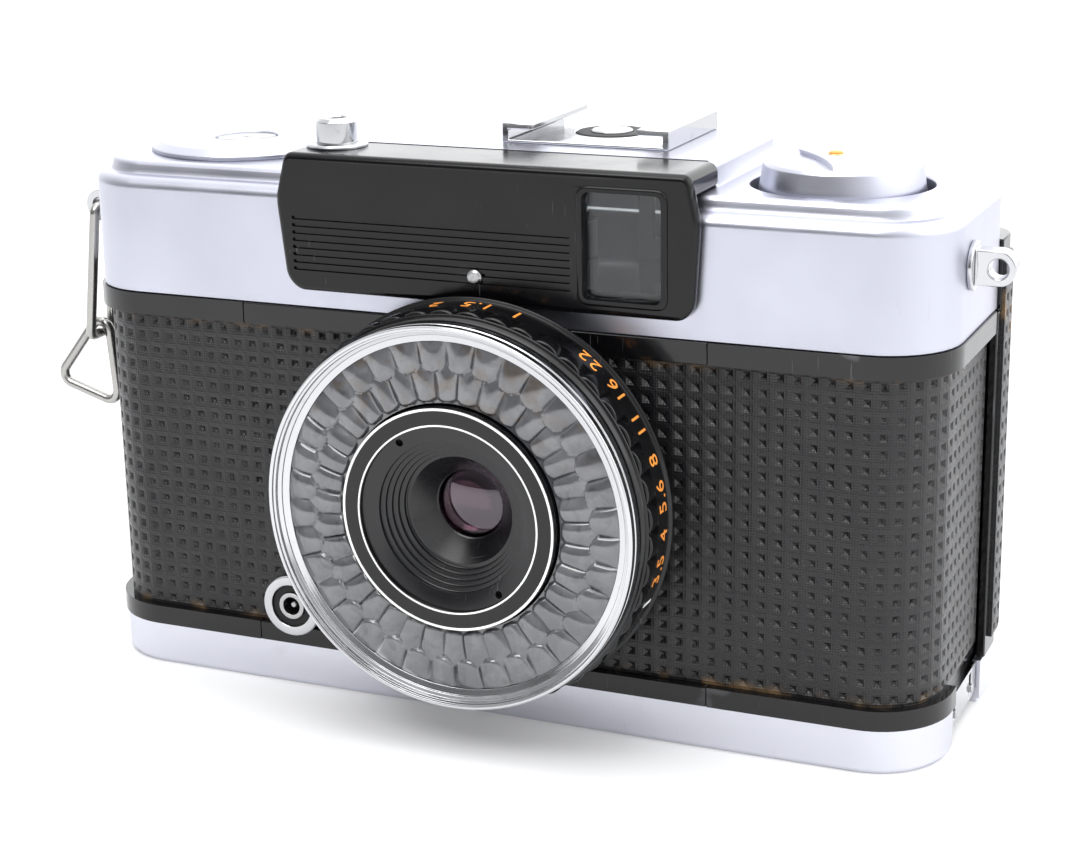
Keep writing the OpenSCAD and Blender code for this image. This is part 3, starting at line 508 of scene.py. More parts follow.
def plan_ring(x0, x1, y0, y1, front_r, back_r, z, steps=9):
    """Level outline with two large front corners and two small back corners."""
    corners = ((x1 - front_r, y0 + front_r, front_r, -90), (x1 - back_r, y1 - back_r, back_r, 0),
               (x0 + back_r, y1 - back_r, back_r, 90), (x0 + front_r, y0 + front_r, front_r, 180))
    ring = []
    for cx, cy, r, start in corners:
        for k in range(steps + 1):
            a = math.radians(start + 90 * k / steps)
            ring.append((cx + r * math.cos(a), cy + r * math.sin(a), z))
    return ring


COVER_CORNER = 8.7
LEDGE = COVER_HIGH.z - 4.4
DECK = COVER_HIGH.z - 2.8
HUMP = COVER_HIGH.z
WALL = 0.9
WELL_R = 10.3
WELL_FLOOR = 61.2
NOTCH_TOP = 57.0


def cover_ring(inset, z):
    return plan_ring(COVER_LOW.x + inset, COVER_HIGH.x - inset, COVER_LOW.y + inset,
                     COVER_HIGH.y - inset, COVER_CORNER - inset, max(4.5 - inset, 0.5), z)


def deck_ring(inset, z):
    return plan_ring(COVER_LOW.x + 1.9 + inset, COVER_HIGH.x - 1.9 - inset,
                     COVER_LOW.y + 1.9 + inset, COVER_HIGH.y - 1.6 - inset,
                     6.8 - inset, max(3 - inset, 0.5), z)


def hump_ring(side, back, z):
    return plan_ring(-25.3 + side, 24.6 - side, HOOD_HIGH.y - 0.6, COVER_HIGH.y - back,
                     0.3, 1.2, z, 5)


def make_cover():
    low = COVER_LOW.z
    inner = [deck_ring(4, DECK - WALL), deck_ring(1.1, DECK - WALL), deck_ring(0.9, DECK - 1.3),
             deck_ring(0.6, LEDGE - WALL), cover_ring(1.4, LEDGE - WALL),
             cover_ring(WALL, LEDGE - 1.6), cover_ring(WALL, low)]
    edge = 1.5
    outer = [cover_ring(0.14, low), cover_ring(0, low + 0.14)]
    for k in range(8):
        a = math.radians(90 * k / 7)
        outer.append(cover_ring(edge * (1 - math.cos(a)), LEDGE - edge * (1 - math.sin(a))))
    step = [(-0.42, 0.0), (-0.2, 0.06), (-0.06, 0.22), (0.06, 0.6), (0.16, 1.05), (0.3, 1.32),
            (0.52, 1.5), (0.85, 1.59), (1.2, 1.6), (4, 1.6)]
    outer += [deck_ring(i, LEDGE + rise) for i, rise in step]
    cover = loft("cover_shell", inner + outer)
    hump = [hump_ring(-0.7, 0.05, LEDGE + 0.2), hump_ring(-0.5, 0.05, DECK),
            hump_ring(-0.22, 0.03, DECK + 0.35), hump_ring(0, 0, DECK + 1.6)]
    for k in range(6):
        a = math.radians(90 * k / 5)
        hump.append(hump_ring(0.9 * (1 - math.cos(a)), 0.9 * (1 - math.cos(a)),
                              HUMP - 0.9 * (1 - math.sin(a))))
    cup = turned("cup", [(3.05, WELL_FLOOR - 0.8), (11, WELL_FLOOR - 0.8), (11, DECK - 0.2),
                         (WELL_R - 0.3, DECK - 0.2), (WELL_R - 0.3, WELL_FLOOR),
                         (3.05, WELL_FLOOR)], KNOB[:2], "Z", 96, 0)
    combine(cover, [loft("hump", hump), cup], "UNION")
    well = turned("well", [(0, WELL_FLOOR), (WELL_R, WELL_FLOOR), (WELL_R, DECK - 0.32),
                           (WELL_R + 0.1, DECK - 0.12), (WELL_R + 0.32, DECK + 0.02),
                           (WELL_R + 0.6, DECK + 0.4), (0, DECK + 0.4)], KNOB[:2], "Z", 96, 0)
    wheel = middle("advance_wheel")
    eye_low, eye_high = span("finder_eyepiece")
    tools = [
        well,
        block("cavity", (-24.4, HOOD_HIGH.y - 0.4, 60), (23.7, 14, HUMP - WALL), 0, 0.4),
        block("mouth", (-24.6, -16, 52.5), (23.8, HOOD_HIGH.y + 0.01, HUMP + 1)),
        block("notch", (-58, 11.5, low - 1), (54, 16, NOTCH_TOP)),
        block("wheel_slot", (wheel.x - 10.4, 12.9, wheel.z - 2.2),
              (wheel.x + 10.4, 16, wheel.z + 2.2), 0, 1.2, "Y"),
        block("eye", (eye_low.x, 12.9, eye_low.z), (eye_high.x, 16, eye_high.z), 0, 0.8, "Y"),
        turned("view", [(0, DECK - 2), (4.9, DECK - 2), (4.9, DECK + 1), (0, DECK + 1)],
               COUNTER[:2], "Z", 48, 0),
        turned("collar_hole", [(0, 58), (2.95, 58), (2.95, HUMP + 1), (0, HUMP + 1)],
               BUTTON[:2], "Z", 48, 0),
    ]
    combine(cover, tools)
    bevel(cover, 0.12, 2, 50)
    stud = turned("stud", [(0, 61.6), (1, 61.6), (1, DECK - 0.2), (0, DECK - 0.2)],
                  DIAL[:2], "Z", 32, 0.1)
    join(cover, [stud])
    return wear(cover, "camera_body", "satin_silver", "top_cover")


make_cover()


# ---- Finder hood, its window and what stands on the roof ---------------------

HOOD_FRONT = HOOD_LOW.y + 0.3
HOOD_FACE_BACK = COVER_LOW.y
RIB_FIELD = (-24.2, 10.9, 53.6, 60.0)


def slot_outline(x0, x1, z0, z1, steps=6):
    """Long slot with round ends, as (x, z)."""
    r, z = (z1 - z0) / 2, (z0 + z1) / 2
    ends = ((x1 - r, -90), (x0 + r, 90))
    return [(x + r * math.cos(math.radians(a + 180 * k / steps)),
             z + r * math.sin(math.radians(a + 180 * k / steps)))
            for x, a in ends for k in range(steps + 1)]


def make_hood():
    top, low = HOOD_HIGH.z, HOOD_LOW.z
    outline = soften([(-25, top, 1.3), (-26.4, 62, 6), (-25.4, 52.6, 3), (-23.9, low, 2.6),
                      (24, low, 2.6), (25.3, 52.6, 3), (25.9, 62, 6), (24.8, top, 1.3)], 1, 6)
    hood = prism("finder_hood", outline, HOOD_FRONT, HOOD_FACE_BACK, "Y", 0.75)
    hood.modifiers["edges"].segments = 5
    settle(hood)
    roof_line = [p for p in outline if p[1] >= 64.6]
    left = min(p[0] for p in roof_line)
    right = max(p[0] for p in roof_line)
    roof_line = sorted((p for p in roof_line if p[0] < 0), key=lambda p: p[1]) + \
        sorted((p for p in roof_line if p[0] > 0), key=lambda p: -p[1])
    roof = prism("roof", [(left, 64.6)] + roof_line + [(right, 64.6)],
                 HOOD_FRONT, HOOD_HIGH.y, "Y", 0.75)
    roof.modifiers["edges"].segments = 5
    settle(roof)
    lip = block("lip", (PANE_LOW.x - 0.7, HOOD_LOW.y, PANE_LOW.z - 0.7),
                (PANE_HIGH.x + 0.7, HOOD_FRONT + 1, PANE_HIGH.z + 0.7), 0.3, 1.4, "Y")
    settle(lip)
    combine(hood, [roof, lip], "UNION")
    hole = block("hole", (PANE_LOW.x, HOOD_LOW.y - 1, PANE_LOW.z),
                 (PANE_HIGH.x, HOOD_FACE_BACK + 1, PANE_HIGH.z), 0, 0.9, "Y")
    cavity = block("cavity", (-24.2, -15.2, 52.6), (23.4, HOOD_HIGH.y + 1, top - 1.1))
    x0, x1, z0, z1 = RIB_FIELD
    pitch = (z1 - z0 - 0.4) / 7
    grooves = [prism("groove", slot_outline(x0, x1, z0 + i * pitch, z0 + i * pitch + 0.42),
                     HOOD_FRONT - 1, HOOD_FRONT + 0.32, "Y") for i in range(8)]
    rivet_hole = turned("rivet_hole", [(0, -17.5), (0.7, -17.5), (0.7, -14), (0, -14)],
                        (RIVET.x, RIVET.z), "Y", 32, 0)
    collar_hole = turned("collar_hole", [(0, 60), (3, 60), (3, top + 1), (0, top + 1)],
                         BUTTON[:2], "Z", 48, 0)
    combine(hood, [hole, cavity, *grooves, rivet_hole, collar_hole])
    bevel(hood, 0.09, 2, 55)
    return wear(hood, "camera_body", "black_gloss", "finder_panel", finish=HOOD)


make_hood()
wear(turned("hood_rivet", [(0, -16.95), (0.62, -16.92), (0.88, -16.75), (0.95, -16.5),
                           (0.7, -16.5), (0.7, -15), (0, -15)], (RIVET.x, RIVET.z), "Y", 48, 0.05),
     "camera_body", "steel", "panel_rivet")
pane = block("window_pane", PANE_LOW, PANE_HIGH, 0.1, 0.85, "Y")
wear(pane, "camera_body", "finder_glass", "finder_window")
refined("finder_frame_mask", "black_matt", 0.2)
refined("finder_eyepiece", "finder_glass", 0.15)
refined("hot_shoe_rails", "chrome_trim", 0.14, segments=3)
wear(turned("shoe_insulator", [(2.55, 67.4), (4.3, 67.4), (4.3, 67.75), (4.1, 67.9), (2.55, 67.9)],
            CONTACT[:2], "Z", 64, 0.08), "camera_body", "black_matt", "hot_shoe_insulator")
wear(turned("shoe_contact", [(0, 67.4), (2.5, 67.4), (2.5, 68.0), (2.3, 68.15), (0, 68.15)],
            CONTACT[:2], "Z", 64, 0.1), "camera_body", "steel", "hot_shoe_contact")


# ---- Body, base and back -----------------------------------------------------

# The base plate wears the lighter copy of the satin chrome, whose extra brightness is painted
# light.
refined("base_plate", "satin_silver", 0.35, finish=BASE_SATIN_PAINTED_LIGHTER, segments=4)
refined("body_casting", "black_enamel", 0.22, segments=3)
refined("front_plate", "black_enamel", 0.22, segments=3)
refined("back_door", "black_enamel", 0.2, segments=3)


CELL_PITCH = 1.96
SKIN_THICKNESS = 0.5


def relief(name, line, thickness, z0, z1, rows, holes=()):
    """Leatherette: a sheet whose square cells each hold a pit of four slopes.

    line(t) gives a point of the outer face in plan and the way out, for t from 0 to 1,
    and its columns attribute the number of cells along it.
    """
    columns = line.columns
    cuts = (0.0, 0.25, 0.75)
    us = [(i + f) / columns for i in range(columns) for f in cuts] + [1.0]
    vs = [(j + f) / rows for j in range(rows) for f in cuts] + [1.0]
    plan = [line(u) for u in us]
    points, faces, chart = [], [], []

    def add(u, v, depth, spot=None):
        (x, y), (nx, ny) = spot or line(u)
        points.append((x - nx * depth, y - ny * depth, z0 + (z1 - z0) * v))
        chart.append((u * columns, v * rows))
        return len(points) - 1

    grid = []
    for i, u in enumerate(us):
        for j, v in enumerate(vs):
            rim = i in (0, len(us) - 1) or j in (0, len(vs) - 1)
            lattice = i % 3 == 0 or j % 3 == 0
            grid.append(add(u, v, 0.09 if rim else (0.0 if lattice else 0.045), plan[i]))
    tall = len(vs)
    for i in range(len(us) - 1):
        for j in range(tall - 1):
            a, b, c, d = (i * tall + j, (i + 1) * tall + j, (i + 1) * tall + j + 1,
                          i * tall + j + 1)
            if i % 3 == 1 and j % 3 == 1:
                middle_u, middle_v = (us[i] + us[i + 1]) / 2, (vs[j] + vs[j + 1]) / 2
                tip = add(middle_u + draw.uniform(-0.04, 0.04) / columns,
                          middle_v + draw.uniform(-0.03, 0.05) / rows,
                          draw.uniform(0.32, 0.42))
                faces += [(a, b, tip), (b, c, tip), (c, d, tip), (d, a, tip)]
            else:
                faces.append((a, b, c, d))
    low = [add(u, 0, thickness, plan[i]) for i, u in enumerate(us)]
    high = [add(u, 1, thickness, plan[i]) for i, u in enumerate(us)]
    for i in range(len(us) - 1):
        faces.append((low[i], low[i + 1], high[i + 1], high[i]))
        faces.append((i * tall, low[i], low[i + 1], (i + 1) * tall))
        faces.append((i * tall + tall - 1, (i + 1) * tall + tall - 1, high[i + 1], high[i]))
    for i in (0, len(us) - 1):
        faces.append((low[i], high[i], *[i * tall + j for j in reversed(range(tall))]))
    mesh = bpy.data.meshes.new(name)
    mesh.from_pydata([[c * MM for c in p] for p in points], [], faces)
    cells = mesh.uv_layers.new(name="cells")
    for loop in mesh.loops:
        cells.data[loop.index].uv = chart[loop.vertex_index]
    made = bpy.data.objects.new(name, mesh)
    bpy.context.scene.collection.objects.link(made)
    work = bmesh.new()
    work.from_mesh(mesh)
    bmesh.ops.recalc_face_normals(work, faces=work.faces)
    work.to_mesh(mesh)
    work.free()
    if holes:
        for tool in holes:
            mod = made.modifiers.new("tool", "BOOLEAN")
            mod.object = tool
            mod.solver = "EXACT"
        settle(made)
        for tool in holes:
            bpy.data.objects.remove(tool)
    return made


def front_line():
    """Outer line of the front leatherette in plan, from the right end to the left."""
    x0, x1, y0, y1, r = SKIN_LOW.x, SKIN_HIGH.x, SKIN_LOW.y, SKIN_HIGH.y, 8.0
    side, bend, front = y1 - y0 - r, r * math.pi / 2, x1 - x0 - 2 * r
    whole = 2 * side + 2 * bend + front

    def at(t):
        s = t * whole
        if s <= side:
            return (x1, y1 - s), (1, 0)
        s -= side
        if s <= bend:
            a = -s / r
            return ((x1 - r + r * math.cos(a), y0 + r + r * math.sin(a)),
                    (math.cos(a), math.sin(a)))
        s -= bend
        if s <= front:
            return (x1 - r - s, y0), (0, -1)
        s -= front
        if s <= bend:
            a = -math.pi / 2 - s / r
            return ((x0 + r + r * math.cos(a), y0 + r + r * math.sin(a)),
                    (math.cos(a), math.sin(a)))
        return (x0, y0 + r + s - bend), (-1, 0)

    at.columns = round(whole / CELL_PITCH)
    return at


def door_line():
    """Outer line of the door's leatherette in plan, from its left edge round the right corner."""
    x0, x1, y0, y1, r = DOOR_SKIN_LOW.x, DOOR_SKIN_HIGH.x, DOOR_SKIN_LOW.y, DOOR_SKIN_HIGH.y, 5.0
    back, bend, side = x1 - r - x0, r * math.pi / 2, y1 - r - y0
    whole = back + bend + side

    def at(t):
        s = t * whole
        if s <= back:
            return (x0 + s, y1), (0, 1)
        if s <= back + bend:
            a = math.pi / 2 - (s - back) / r
            return ((x1 - r + r * math.cos(a), y1 - r + r * math.sin(a)),
                    (math.cos(a), math.sin(a)))
        return (x1, y1 - r - (s - back - bend)), (1, 0)

    at.columns = round(whole / CELL_PITCH)
    return at


lens_hole = turned("lens_hole", [(0, -20), (17.7, -20), (17.7, 0), (0, 0)], (0, LENS_Z), "Y", 96, 0)
socket_hole = turned("socket_hole", [(0, -20), (3.5, -20), (3.5, 0), (0, 0)],
                     (SOCKET.x, SOCKET.z), "Y", 48, 0)
front_skin = relief("front_skin", front_line(), SKIN_THICKNESS, SKIN_LOW.z, SKIN_HIGH.z,
                    round((SKIN_HIGH.z - SKIN_LOW.z) / CELL_PITCH), [lens_hole, socket_hole])
wear(front_skin, "camera_body", "leatherette", "front_leatherette")
door_skin = relief("door_skin", door_line(), SKIN_THICKNESS, DOOR_SKIN_LOW.z, DOOR_SKIN_HIGH.z,
                   round((DOOR_SKIN_HIGH.z - DOOR_SKIN_LOW.z) / CELL_PITCH))
wear(door_skin, "door", "leatherette", "door_leatherette")


# ---- Lens --------------------------------------------------------------------

ON_AXIS = (0, LENS_Z)
wear(turned("lens_sleeve", [(16.5, -11.7), (16.5, -18), (19, -18), (19, -25.6), (20, -25.6),
                            (20, -18), (21.5, -18), (21.5, -15.05), (17.5, -15.05),
                            (17.5, -11.7)], ON_AXIS, "Y", 160, 0.12),
     "camera_body", "black_gloss", "lens_barrel")


RING_R = 23.3
RING_MIDDLE = -20.2


def make_number_ring():
    """Numbered ring: a plain black band, a fluted grip in front and a raised rim behind."""
    lobes, per_lobe = 44, 8
    bore, plain, rim = 20.05, RING_R, 23.7
    profile = soften([(bore, -24), (23.4, -24, 0.3), (23.4, -22, 0.3), (plain, -21.95, 0.05),
                      (plain, -18.75, 0.1), (rim, -18.6, 0.12), (rim, -18.2, 0.12),
                      (bore, -18.2)], 0.1)
    count, steps = len(profile), lobes * per_lobe
    points, faces = [], []
    for i in range(steps):
        phase = i % per_lobe / per_lobe
        dip = 0.62 * (1 - abs(math.sin(math.pi * phase)) ** 0.55)
        c, s = math.cos(TAU * i / steps), math.sin(TAU * i / steps)
        for r, y in profile:
            if r > bore + 1 and y < -21.97:
                r -= dip
            points.append((r * c, y, LENS_Z + r * s))
        for j in range(count):
            a, b = i * count, (i + 1) % steps * count
            faces.append((a + j, a + (j + 1) % count, b + (j + 1) % count, b + j))
    ring = piece("number_band", points, faces, 40)
    return wear(ring, "number_ring", "black_gloss", "aperture_ring")


make_number_ring()


def text_mesh(text, size):
    """Flat mesh of a numeral, centred, in millimetres."""
    curve = bpy.data.curves.new("numeral", "FONT")
    curve.body = text
    curve.size = size
    curve.align_x, curve.align_y = "CENTER", "CENTER"
    curve.resolution_u = 4
    curve.space_character = 1.12
    holder = bpy.data.objects.new("numeral", curve)
    bpy.context.scene.collection.objects.link(holder)
    bpy.context.view_layer.update()
    graph = bpy.context.evaluated_depsgraph_get()
    mesh = bpy.data.meshes.new_from_object(holder.evaluated_get(graph))
    bpy.data.objects.remove(holder)
    return mesh


def numerals(name, marks, size, bend, thickness=0.03):
    """Raised numerals: bend(place, x, y, height) puts a point of a numeral on the part."""
    points, faces = [], []
    for place, text in marks:
        mesh = text_mesh(text, size)
        work = bmesh.new()
        work.from_mesh(mesh)
        bmesh.ops.remove_doubles(work, verts=work.verts, dist=1e-5)
        bmesh.ops.subdivide_edges(work, edges=[e for e in work.edges if e.calc_length() > 0.5],
                                  cuts=1)
        grown = bmesh.ops.extrude_face_region(work, geom=work.faces[:])
        for item in grown["geom"]:
            if isinstance(item, bmesh.types.BMVert):
                item.co.z = thickness
        bmesh.ops.recalc_face_normals(work, faces=work.faces)
        work.verts.index_update()
        start = len(points)
        points += [bend(place, v.co.x, v.co.y, v.co.z) for v in work.verts]
        faces += [[start + v.index for v in f.verts] for f in work.faces]
        work.free()
    return piece(name, points, faces, 60)


STOPS = [(51, "22"), (40, "16"), (29, "11"), (18.5, "8"), (8, "5.6"), (-3, "4"), (-13.6, "3.5"),
         (100, "2"), (87, "1.5"), (75, "1")]


def on_ring(degrees, x, y, height):
    radius = RING_R + height
    angle = math.radians(degrees) + x / radius
    return radius * math.cos(angle), RING_MIDDLE - y, LENS_Z + radius * math.sin(angle)


wear(numerals("ring_numbers", STOPS, 2.9, on_ring), "number_ring", "orange_paint")


def make_tick():
    points = [on_ring(-24 + dx, 0, dy, h) for h in (-0.02, 0.03)
              for dx, dy in ((-0.5, -0.9), (0.5, -0.9), (0.5, 1.3), (-0.5, 1.3))]
    faces = [(0, 1, 2, 3), (4, 5, 6, 7)] + [(i, (i + 1) % 4, 4 + (i + 1) % 4, 4 + i)
                                           for i in range(4)]
    return wear(piece("ring_tick", points, faces), "number_ring", "orange_paint", finish=WHITE)


make_tick()
wear(turned("speed_band", [(20.05, -25.4), (22.6, -25.4), (22.9, -24.8), (22.7, -24.7),
                           (22.7, -24.5), (23, -24.4), (23.1, -24.2), (20.05, -24.2)],
            ON_AXIS, "Y", 160, 0.06), "speed_ring", "black_gloss", "film_speed_ring")
wear(turned("bezel", [(19, -25.6), (19, -25.8), (20.5, -25.8), (20.5, -26.55), (21.25, -26.75),
                      (21.3, -26.95), (21.7, -27.15), (21.75, -27.6), (21.98, -27.66),
                      (22.02, -27.95), (22.12, -28), (22.34, -28), (22.5, -27.84),
                      (22.5, -27.0), (22.36, -26.92), (22.36, -26.74), (22.5, -26.66),
                      (22.5, -25.6)], ON_AXIS, "Y", 192, 0.07),
     "camera_body", "chrome_trim", "lens_bezel", finish=LATHE_CHROME)


def cell_height(radius, angle):
    """Height of the window over the light cell: two rows of lenses, half a pitch apart."""
    lenses = 36
    turn = angle / TAU * lenses
    u = 2 * (turn - math.floor(turn)) - 1
    w = 2 * ((turn + 0.5) - math.floor(turn + 0.5)) - 1
    border = 16.95 + 0.95 * u * u
    if radius > border:
        across, key = u, math.floor(turn) % lenses
        lift = min((radius - border) / 0.12, 1)
        crown = 0.35 + 0.65 * (1 - ((radius - 18.2) / 2.4) ** 2)
    else:
        across, key = w, lenses + math.floor(turn + 0.5) % lenses
        lift = min(max(radius - 13.5 - 0.45 * w * w, 0) / 0.2, (border - radius) / 0.1 + 0.3, 1)
        crown = 0.35 + 0.65 * (1 - ((radius - 15.0) / 2.6) ** 2)
    side = min((1 - abs(across)) / 0.05, 1)
    lean = 0.22 * TILTS[key] * across
    edge = max(min(lift, side), 0)
    return max(0.6 * crown * (1 - 0.75 * across * across) + lean * crown, 0.02) * edge ** 0.5


TILTS = [draw.uniform(-1, 1) for _ in range(72)]


def make_cell():
    steps, inner, outer, base, floor = 36 * 18, 13.35, 20.45, -26.25, -25.8
    rows = [inner + (outer - inner) * k / 50 for k in range(51)]
    points, faces = [], []
    count = len(rows) + 2
    for i in range(steps):
        a = TAU * i / steps
        c, s = math.cos(a), math.sin(a)
        for r in rows:
            y = base - cell_height(r, a)
            points.append((r * c, y, LENS_Z + r * s))
        points += [(outer * c, floor, LENS_Z + outer * s), (inner * c, floor, LENS_Z + inner * s)]
        for j in range(count):
            p, q = i * count, (i + 1) % steps * count
            faces.append((p + j, p + (j + 1) % count, q + (j + 1) % count, q + j))
    cell = piece("cell_lenses", points, faces, 50)
    return wear(cell, "camera_body", "cell_window", "selenium_cell")


make_cell()
wear(turned("face_ring", [(10.85, -26.8), (10.85, -27.32), (10.95, -27.4), (13, -27.4),
                          (13.1, -27.3), (13.1, -26.8)], ON_AXIS, "Y", 160, 0.03),
     "camera_body", "black_gloss", "name_ring")
for label, radius, width in (("outer", 12.9, 0.28), ("inner", 11.03, 0.2)):
    wear(turned(f"face_circle_{label}", [(radius - width / 2, -27.43), (radius + width / 2, -27.43),
                                         (radius + width / 2, -27.38),
                                         (radius - width / 2, -27.38)], ON_AXIS, "Y", 160, 0),
         "camera_body", "black_gloss", finish=WHITE)


def make_cone():
    """Black cell round the front glass: a smooth cone, fine steps and a flange with two holes."""
    line = [(13.1, -26.8), (13.1, -17.5), (4.3, -17.5), (4.3, -20.7), (4.05, -20.7),
            (4.05, -21.0), (4.2, -21.1), (6.4, -23.6)]
    for i in range(5):
        r, y = 6.91 + i * 0.51, -23.6 - i * 0.56
        line += [(r - 0.08, y), (r, y - 0.06), (r, y - 0.5)]
    line.append((8.95, -26.4))
    line.append((10.85, -26.8))
    cone = turned("lens_cone", line, ON_AXIS, "Y", 160, 0.04)
    combine(cone, [turned("pin_hole", [(0, -28), (0.45, -28), (0.45, -25.9), (0, -25.9)],
                          (side * 5.92, LENS_Z - side * 8.3), "Y", 24, 0) for side in (-1, 1)])
    return wear(cone, "camera_body", "black_matt", "lens_cell", finish=CONE)


make_cone()


def glass(name, node, rim, front, back, front_r, back_r):
    """Lens element with two curved faces; a negative radius hollows a face."""
    line = []
    for k in range(13):
        r = rim * k / 12
        line.append((r, front + front_r - math.copysign(math.sqrt(front_r ** 2 - r * r), front_r)))
    for k in range(12, -1, -1):
        r = rim * k / 12
        line.append((r, back - back_r + math.copysign(math.sqrt(back_r ** 2 - r * r), back_r)))
    made = turned(name, line, ON_AXIS, "Y", 96, 0)
    made.data.set_sharp_from_angle(angle=math.radians(60))
    return wear(made, "camera_body", "lens_glass", node)


glass("front_glass", "front_lens", 4.28, -21.2, -18.0, 12, 14)
glass("rear_glass", "rear_lens", 4.28, -9.6, -6.4, 14, 10)
refined("shutter_housing", "black_matt", 0.12)
refined("shutter_blade_a", "blade_steel", 0.05)
refined("shutter_blade_b", "blade_steel", 0.05)
AT_SOCKET = (SOCKET.x, SOCKET.z)
wear(turned("socket_shell", [(2.7, -15.8), (3.75, -15.8), (3.9, -15.62), (3.9, -15), (3.4, -15),
                             (3.4, -8), (2.7, -8)], AT_SOCKET, "Y", 64, 0.12),
     "camera_body", "chrome_trim", "sync_socket_shell")
wear(turned("socket_insulator", [(1.75, -15.45), (2.68, -15.45), (2.68, -9), (1.75, -9)],
            AT_SOCKET, "Y", 48, 0.08), "camera_body", "black_matt", "sync_socket_insulator")
wear(turned("socket_core", [(0, -15.2), (0.3, -15.2), (0.4, -15.0), (0.4, -11), (1.15, -11),
                            (1.15, -15.7), (1.7, -15.7), (1.73, -9), (0, -9)],
            AT_SOCKET, "Y", 48, 0.06), "camera_body", "brass", "sync_socket_contact", finish=STEEL)


# ---- Controls ----------------------------------------------------------------

KNOB_TOP = 67.3
KNOB_TURN = math.radians(-58)


def make_knob():
    """Low cap with a rim, two hollows for the fingers and a bar between them."""
    at, rim = KNOB[:2], KNOB_TOP - 0.1
    body = turned("rewind_cap", [(0, 61.8), (9.5, 61.8), (9.42, 63.6), (8.9, rim - 0.4),
                                 (8.5, rim), (7.75, rim), (7.1, rim - 0.35),
                                 (6, rim - 0.5), (0, rim - 0.5)], at, "Z", 128, 0.25)
    outline = []
    for flip in (0, math.pi):
        for k in range(9):
            a = math.radians(-23.76 + 47.52 * k / 8)
            outline.append((8.2 * math.cos(a + flip), 8.2 * math.sin(a + flip)))
        for k in range(1, 16):
            x = 7.505 * (1 - 2 * k / 16)
            y = 26.1 - math.sqrt(576 - x * x)
            outline.append((x * math.cos(flip) - y * math.sin(flip),
                            x * math.sin(flip) + y * math.cos(flip)))
    c, s = math.cos(KNOB_TURN), math.sin(KNOB_TURN)
    outline = [(at[0] + x * c - y * s, at[1] + x * s + y * c) for x, y in outline]
    bar = prism("bar", outline, rim - 0.9, KNOB_TOP, "Z", 0.14)
    settle(bar)
    join(body, [bar])
    return wear(body, "rewind", "satin_silver", "rewind_knob")


make_knob()
DOT_AT = (KNOB[0] - 2.9 * math.cos(KNOB_TURN), KNOB[1] - 2.9 * math.sin(KNOB_TURN))
wear(turned("knob_dot", [(0, KNOB_TOP), (0.8, KNOB_TOP), (0.78, KNOB_TOP + 0.2),
                         (0.55, KNOB_TOP + 0.3), (0, KNOB_TOP + 0.3)], DOT_AT,
            "Z", 32, 0.04), "rewind", "orange_paint", "rewind_dot")
wear(turned("knob_dot_ring", [(0.8, KNOB_TOP), (1.05, KNOB_TOP), (1, KNOB_TOP + 0.08),
                              (0.8, KNOB_TOP + 0.08)], DOT_AT,
            "Z", 32, 0.02), "rewind", "brass")
wear(turned("release_cap", [(0, 60.5), (2.4, 60.5), (2.4, 70.35), (2.0, 70.8), (1.35, 70.8),
                            (1.2, 70.6), (1.2, 66.8), (0, 66.8)], BUTTON[:2], "Z", 64, 0.15),
     "button", "chrome_trim", "shutter_button")
wear(turned("release_collar", [(2.45, 58), (3, 58), (3, 67.4), (3.65, 67.4), (3.65, 67.7),
                               (3.45, 67.9), (2.45, 67.9)], BUTTON[:2], "Z", 64, 0.08),
     "camera_body", "chrome_trim", "shutter_collar")
wear(turned("counter_rim", [(3.9, DECK), (11.8, DECK), (11.8, 65.1), (11.5, 65.3), (10.7, 65.86),
                            (10.4, 65.9), (4.3, 65.9), (3.95, 65.72), (3.9, 65.5)],
            COUNTER[:2], "Z", 160, 0.15), "camera_body", "satin_silver", "counter_bezel")
wear(turned("counter_glass", [(0, 65), (3.88, 65), (3.88, 65.5), (3.6, 65.68), (0, 65.7)],
            COUNTER[:2], "Z", 64, 0.05), "camera_body", "finder_glass", "counter_window")
wear(turned("counter_card", [(1.05, 62.2), (9, 62.2), (9, 62.8), (1.05, 62.8)], DIAL[:2], "Z",
            128, 0.08), "dial", "black_matt", "counter_dial")


def on_dial(degrees, x, y, height):
    radius = 7.4 + y
    angle = math.radians(degrees) - x / radius
    return DIAL.x + radius * math.cos(angle), DIAL.y + radius * math.sin(angle), 62.8 + height


FRAMES = [(180 - 25 * i, str(10 * i)) for i in range(8)]
wear(numerals("counter_numbers", FRAMES, 2.3, on_dial), "dial", "black_matt", finish=WHITE)


# ---- Strap hardware ----------------------------------------------------------

refined("strap_loop", "wire_steel", 0)
refined("strap_triangle", "wire_steel", 0)
refined("left_strap_lug", "chrome_trim", 0.2, segments=3)
refined("right_strap_lug", "chrome_trim", 0.2, segments=3)


# ---- Working parts, seen with the back open or at the joints' limits ---------

for node, slot_name, edge in (
        ("base_screws", "steel", 0.1), ("tripod_bush", "steel", 0.15),
        ("button_spring", "steel", 0), ("advance_wheel", "black_matt", 0.12),
        ("advance_gear", "brass", 0.08), ("take_up_spool", "black_matt", 0.12),
        ("sprocket_shaft", "steel", 0.08), ("sprocket_gear", "brass", 0.08),
        ("rewind_fork", "steel", 0.1), ("rewind_collar", "steel", 0.1),
        ("rewind_release", "chrome_trim", 0.12), ("hinge_pin", "steel", 0.1),
        ("pressure_plate", "black_matt", 0.12), ("plate_spring", "steel", 0.05),
        ("latch_slide", "chrome_trim", 0.1), ("latch_pins", "steel", 0.06),
        ("meter_movement", "blade_steel", 0.12)):
    refined(node, slot_name, edge)
refined("meter_needle", "orange_paint", 0.05, finish=NEEDLE_RED)


# ---- Floor, light and camera -------------------------------------------------

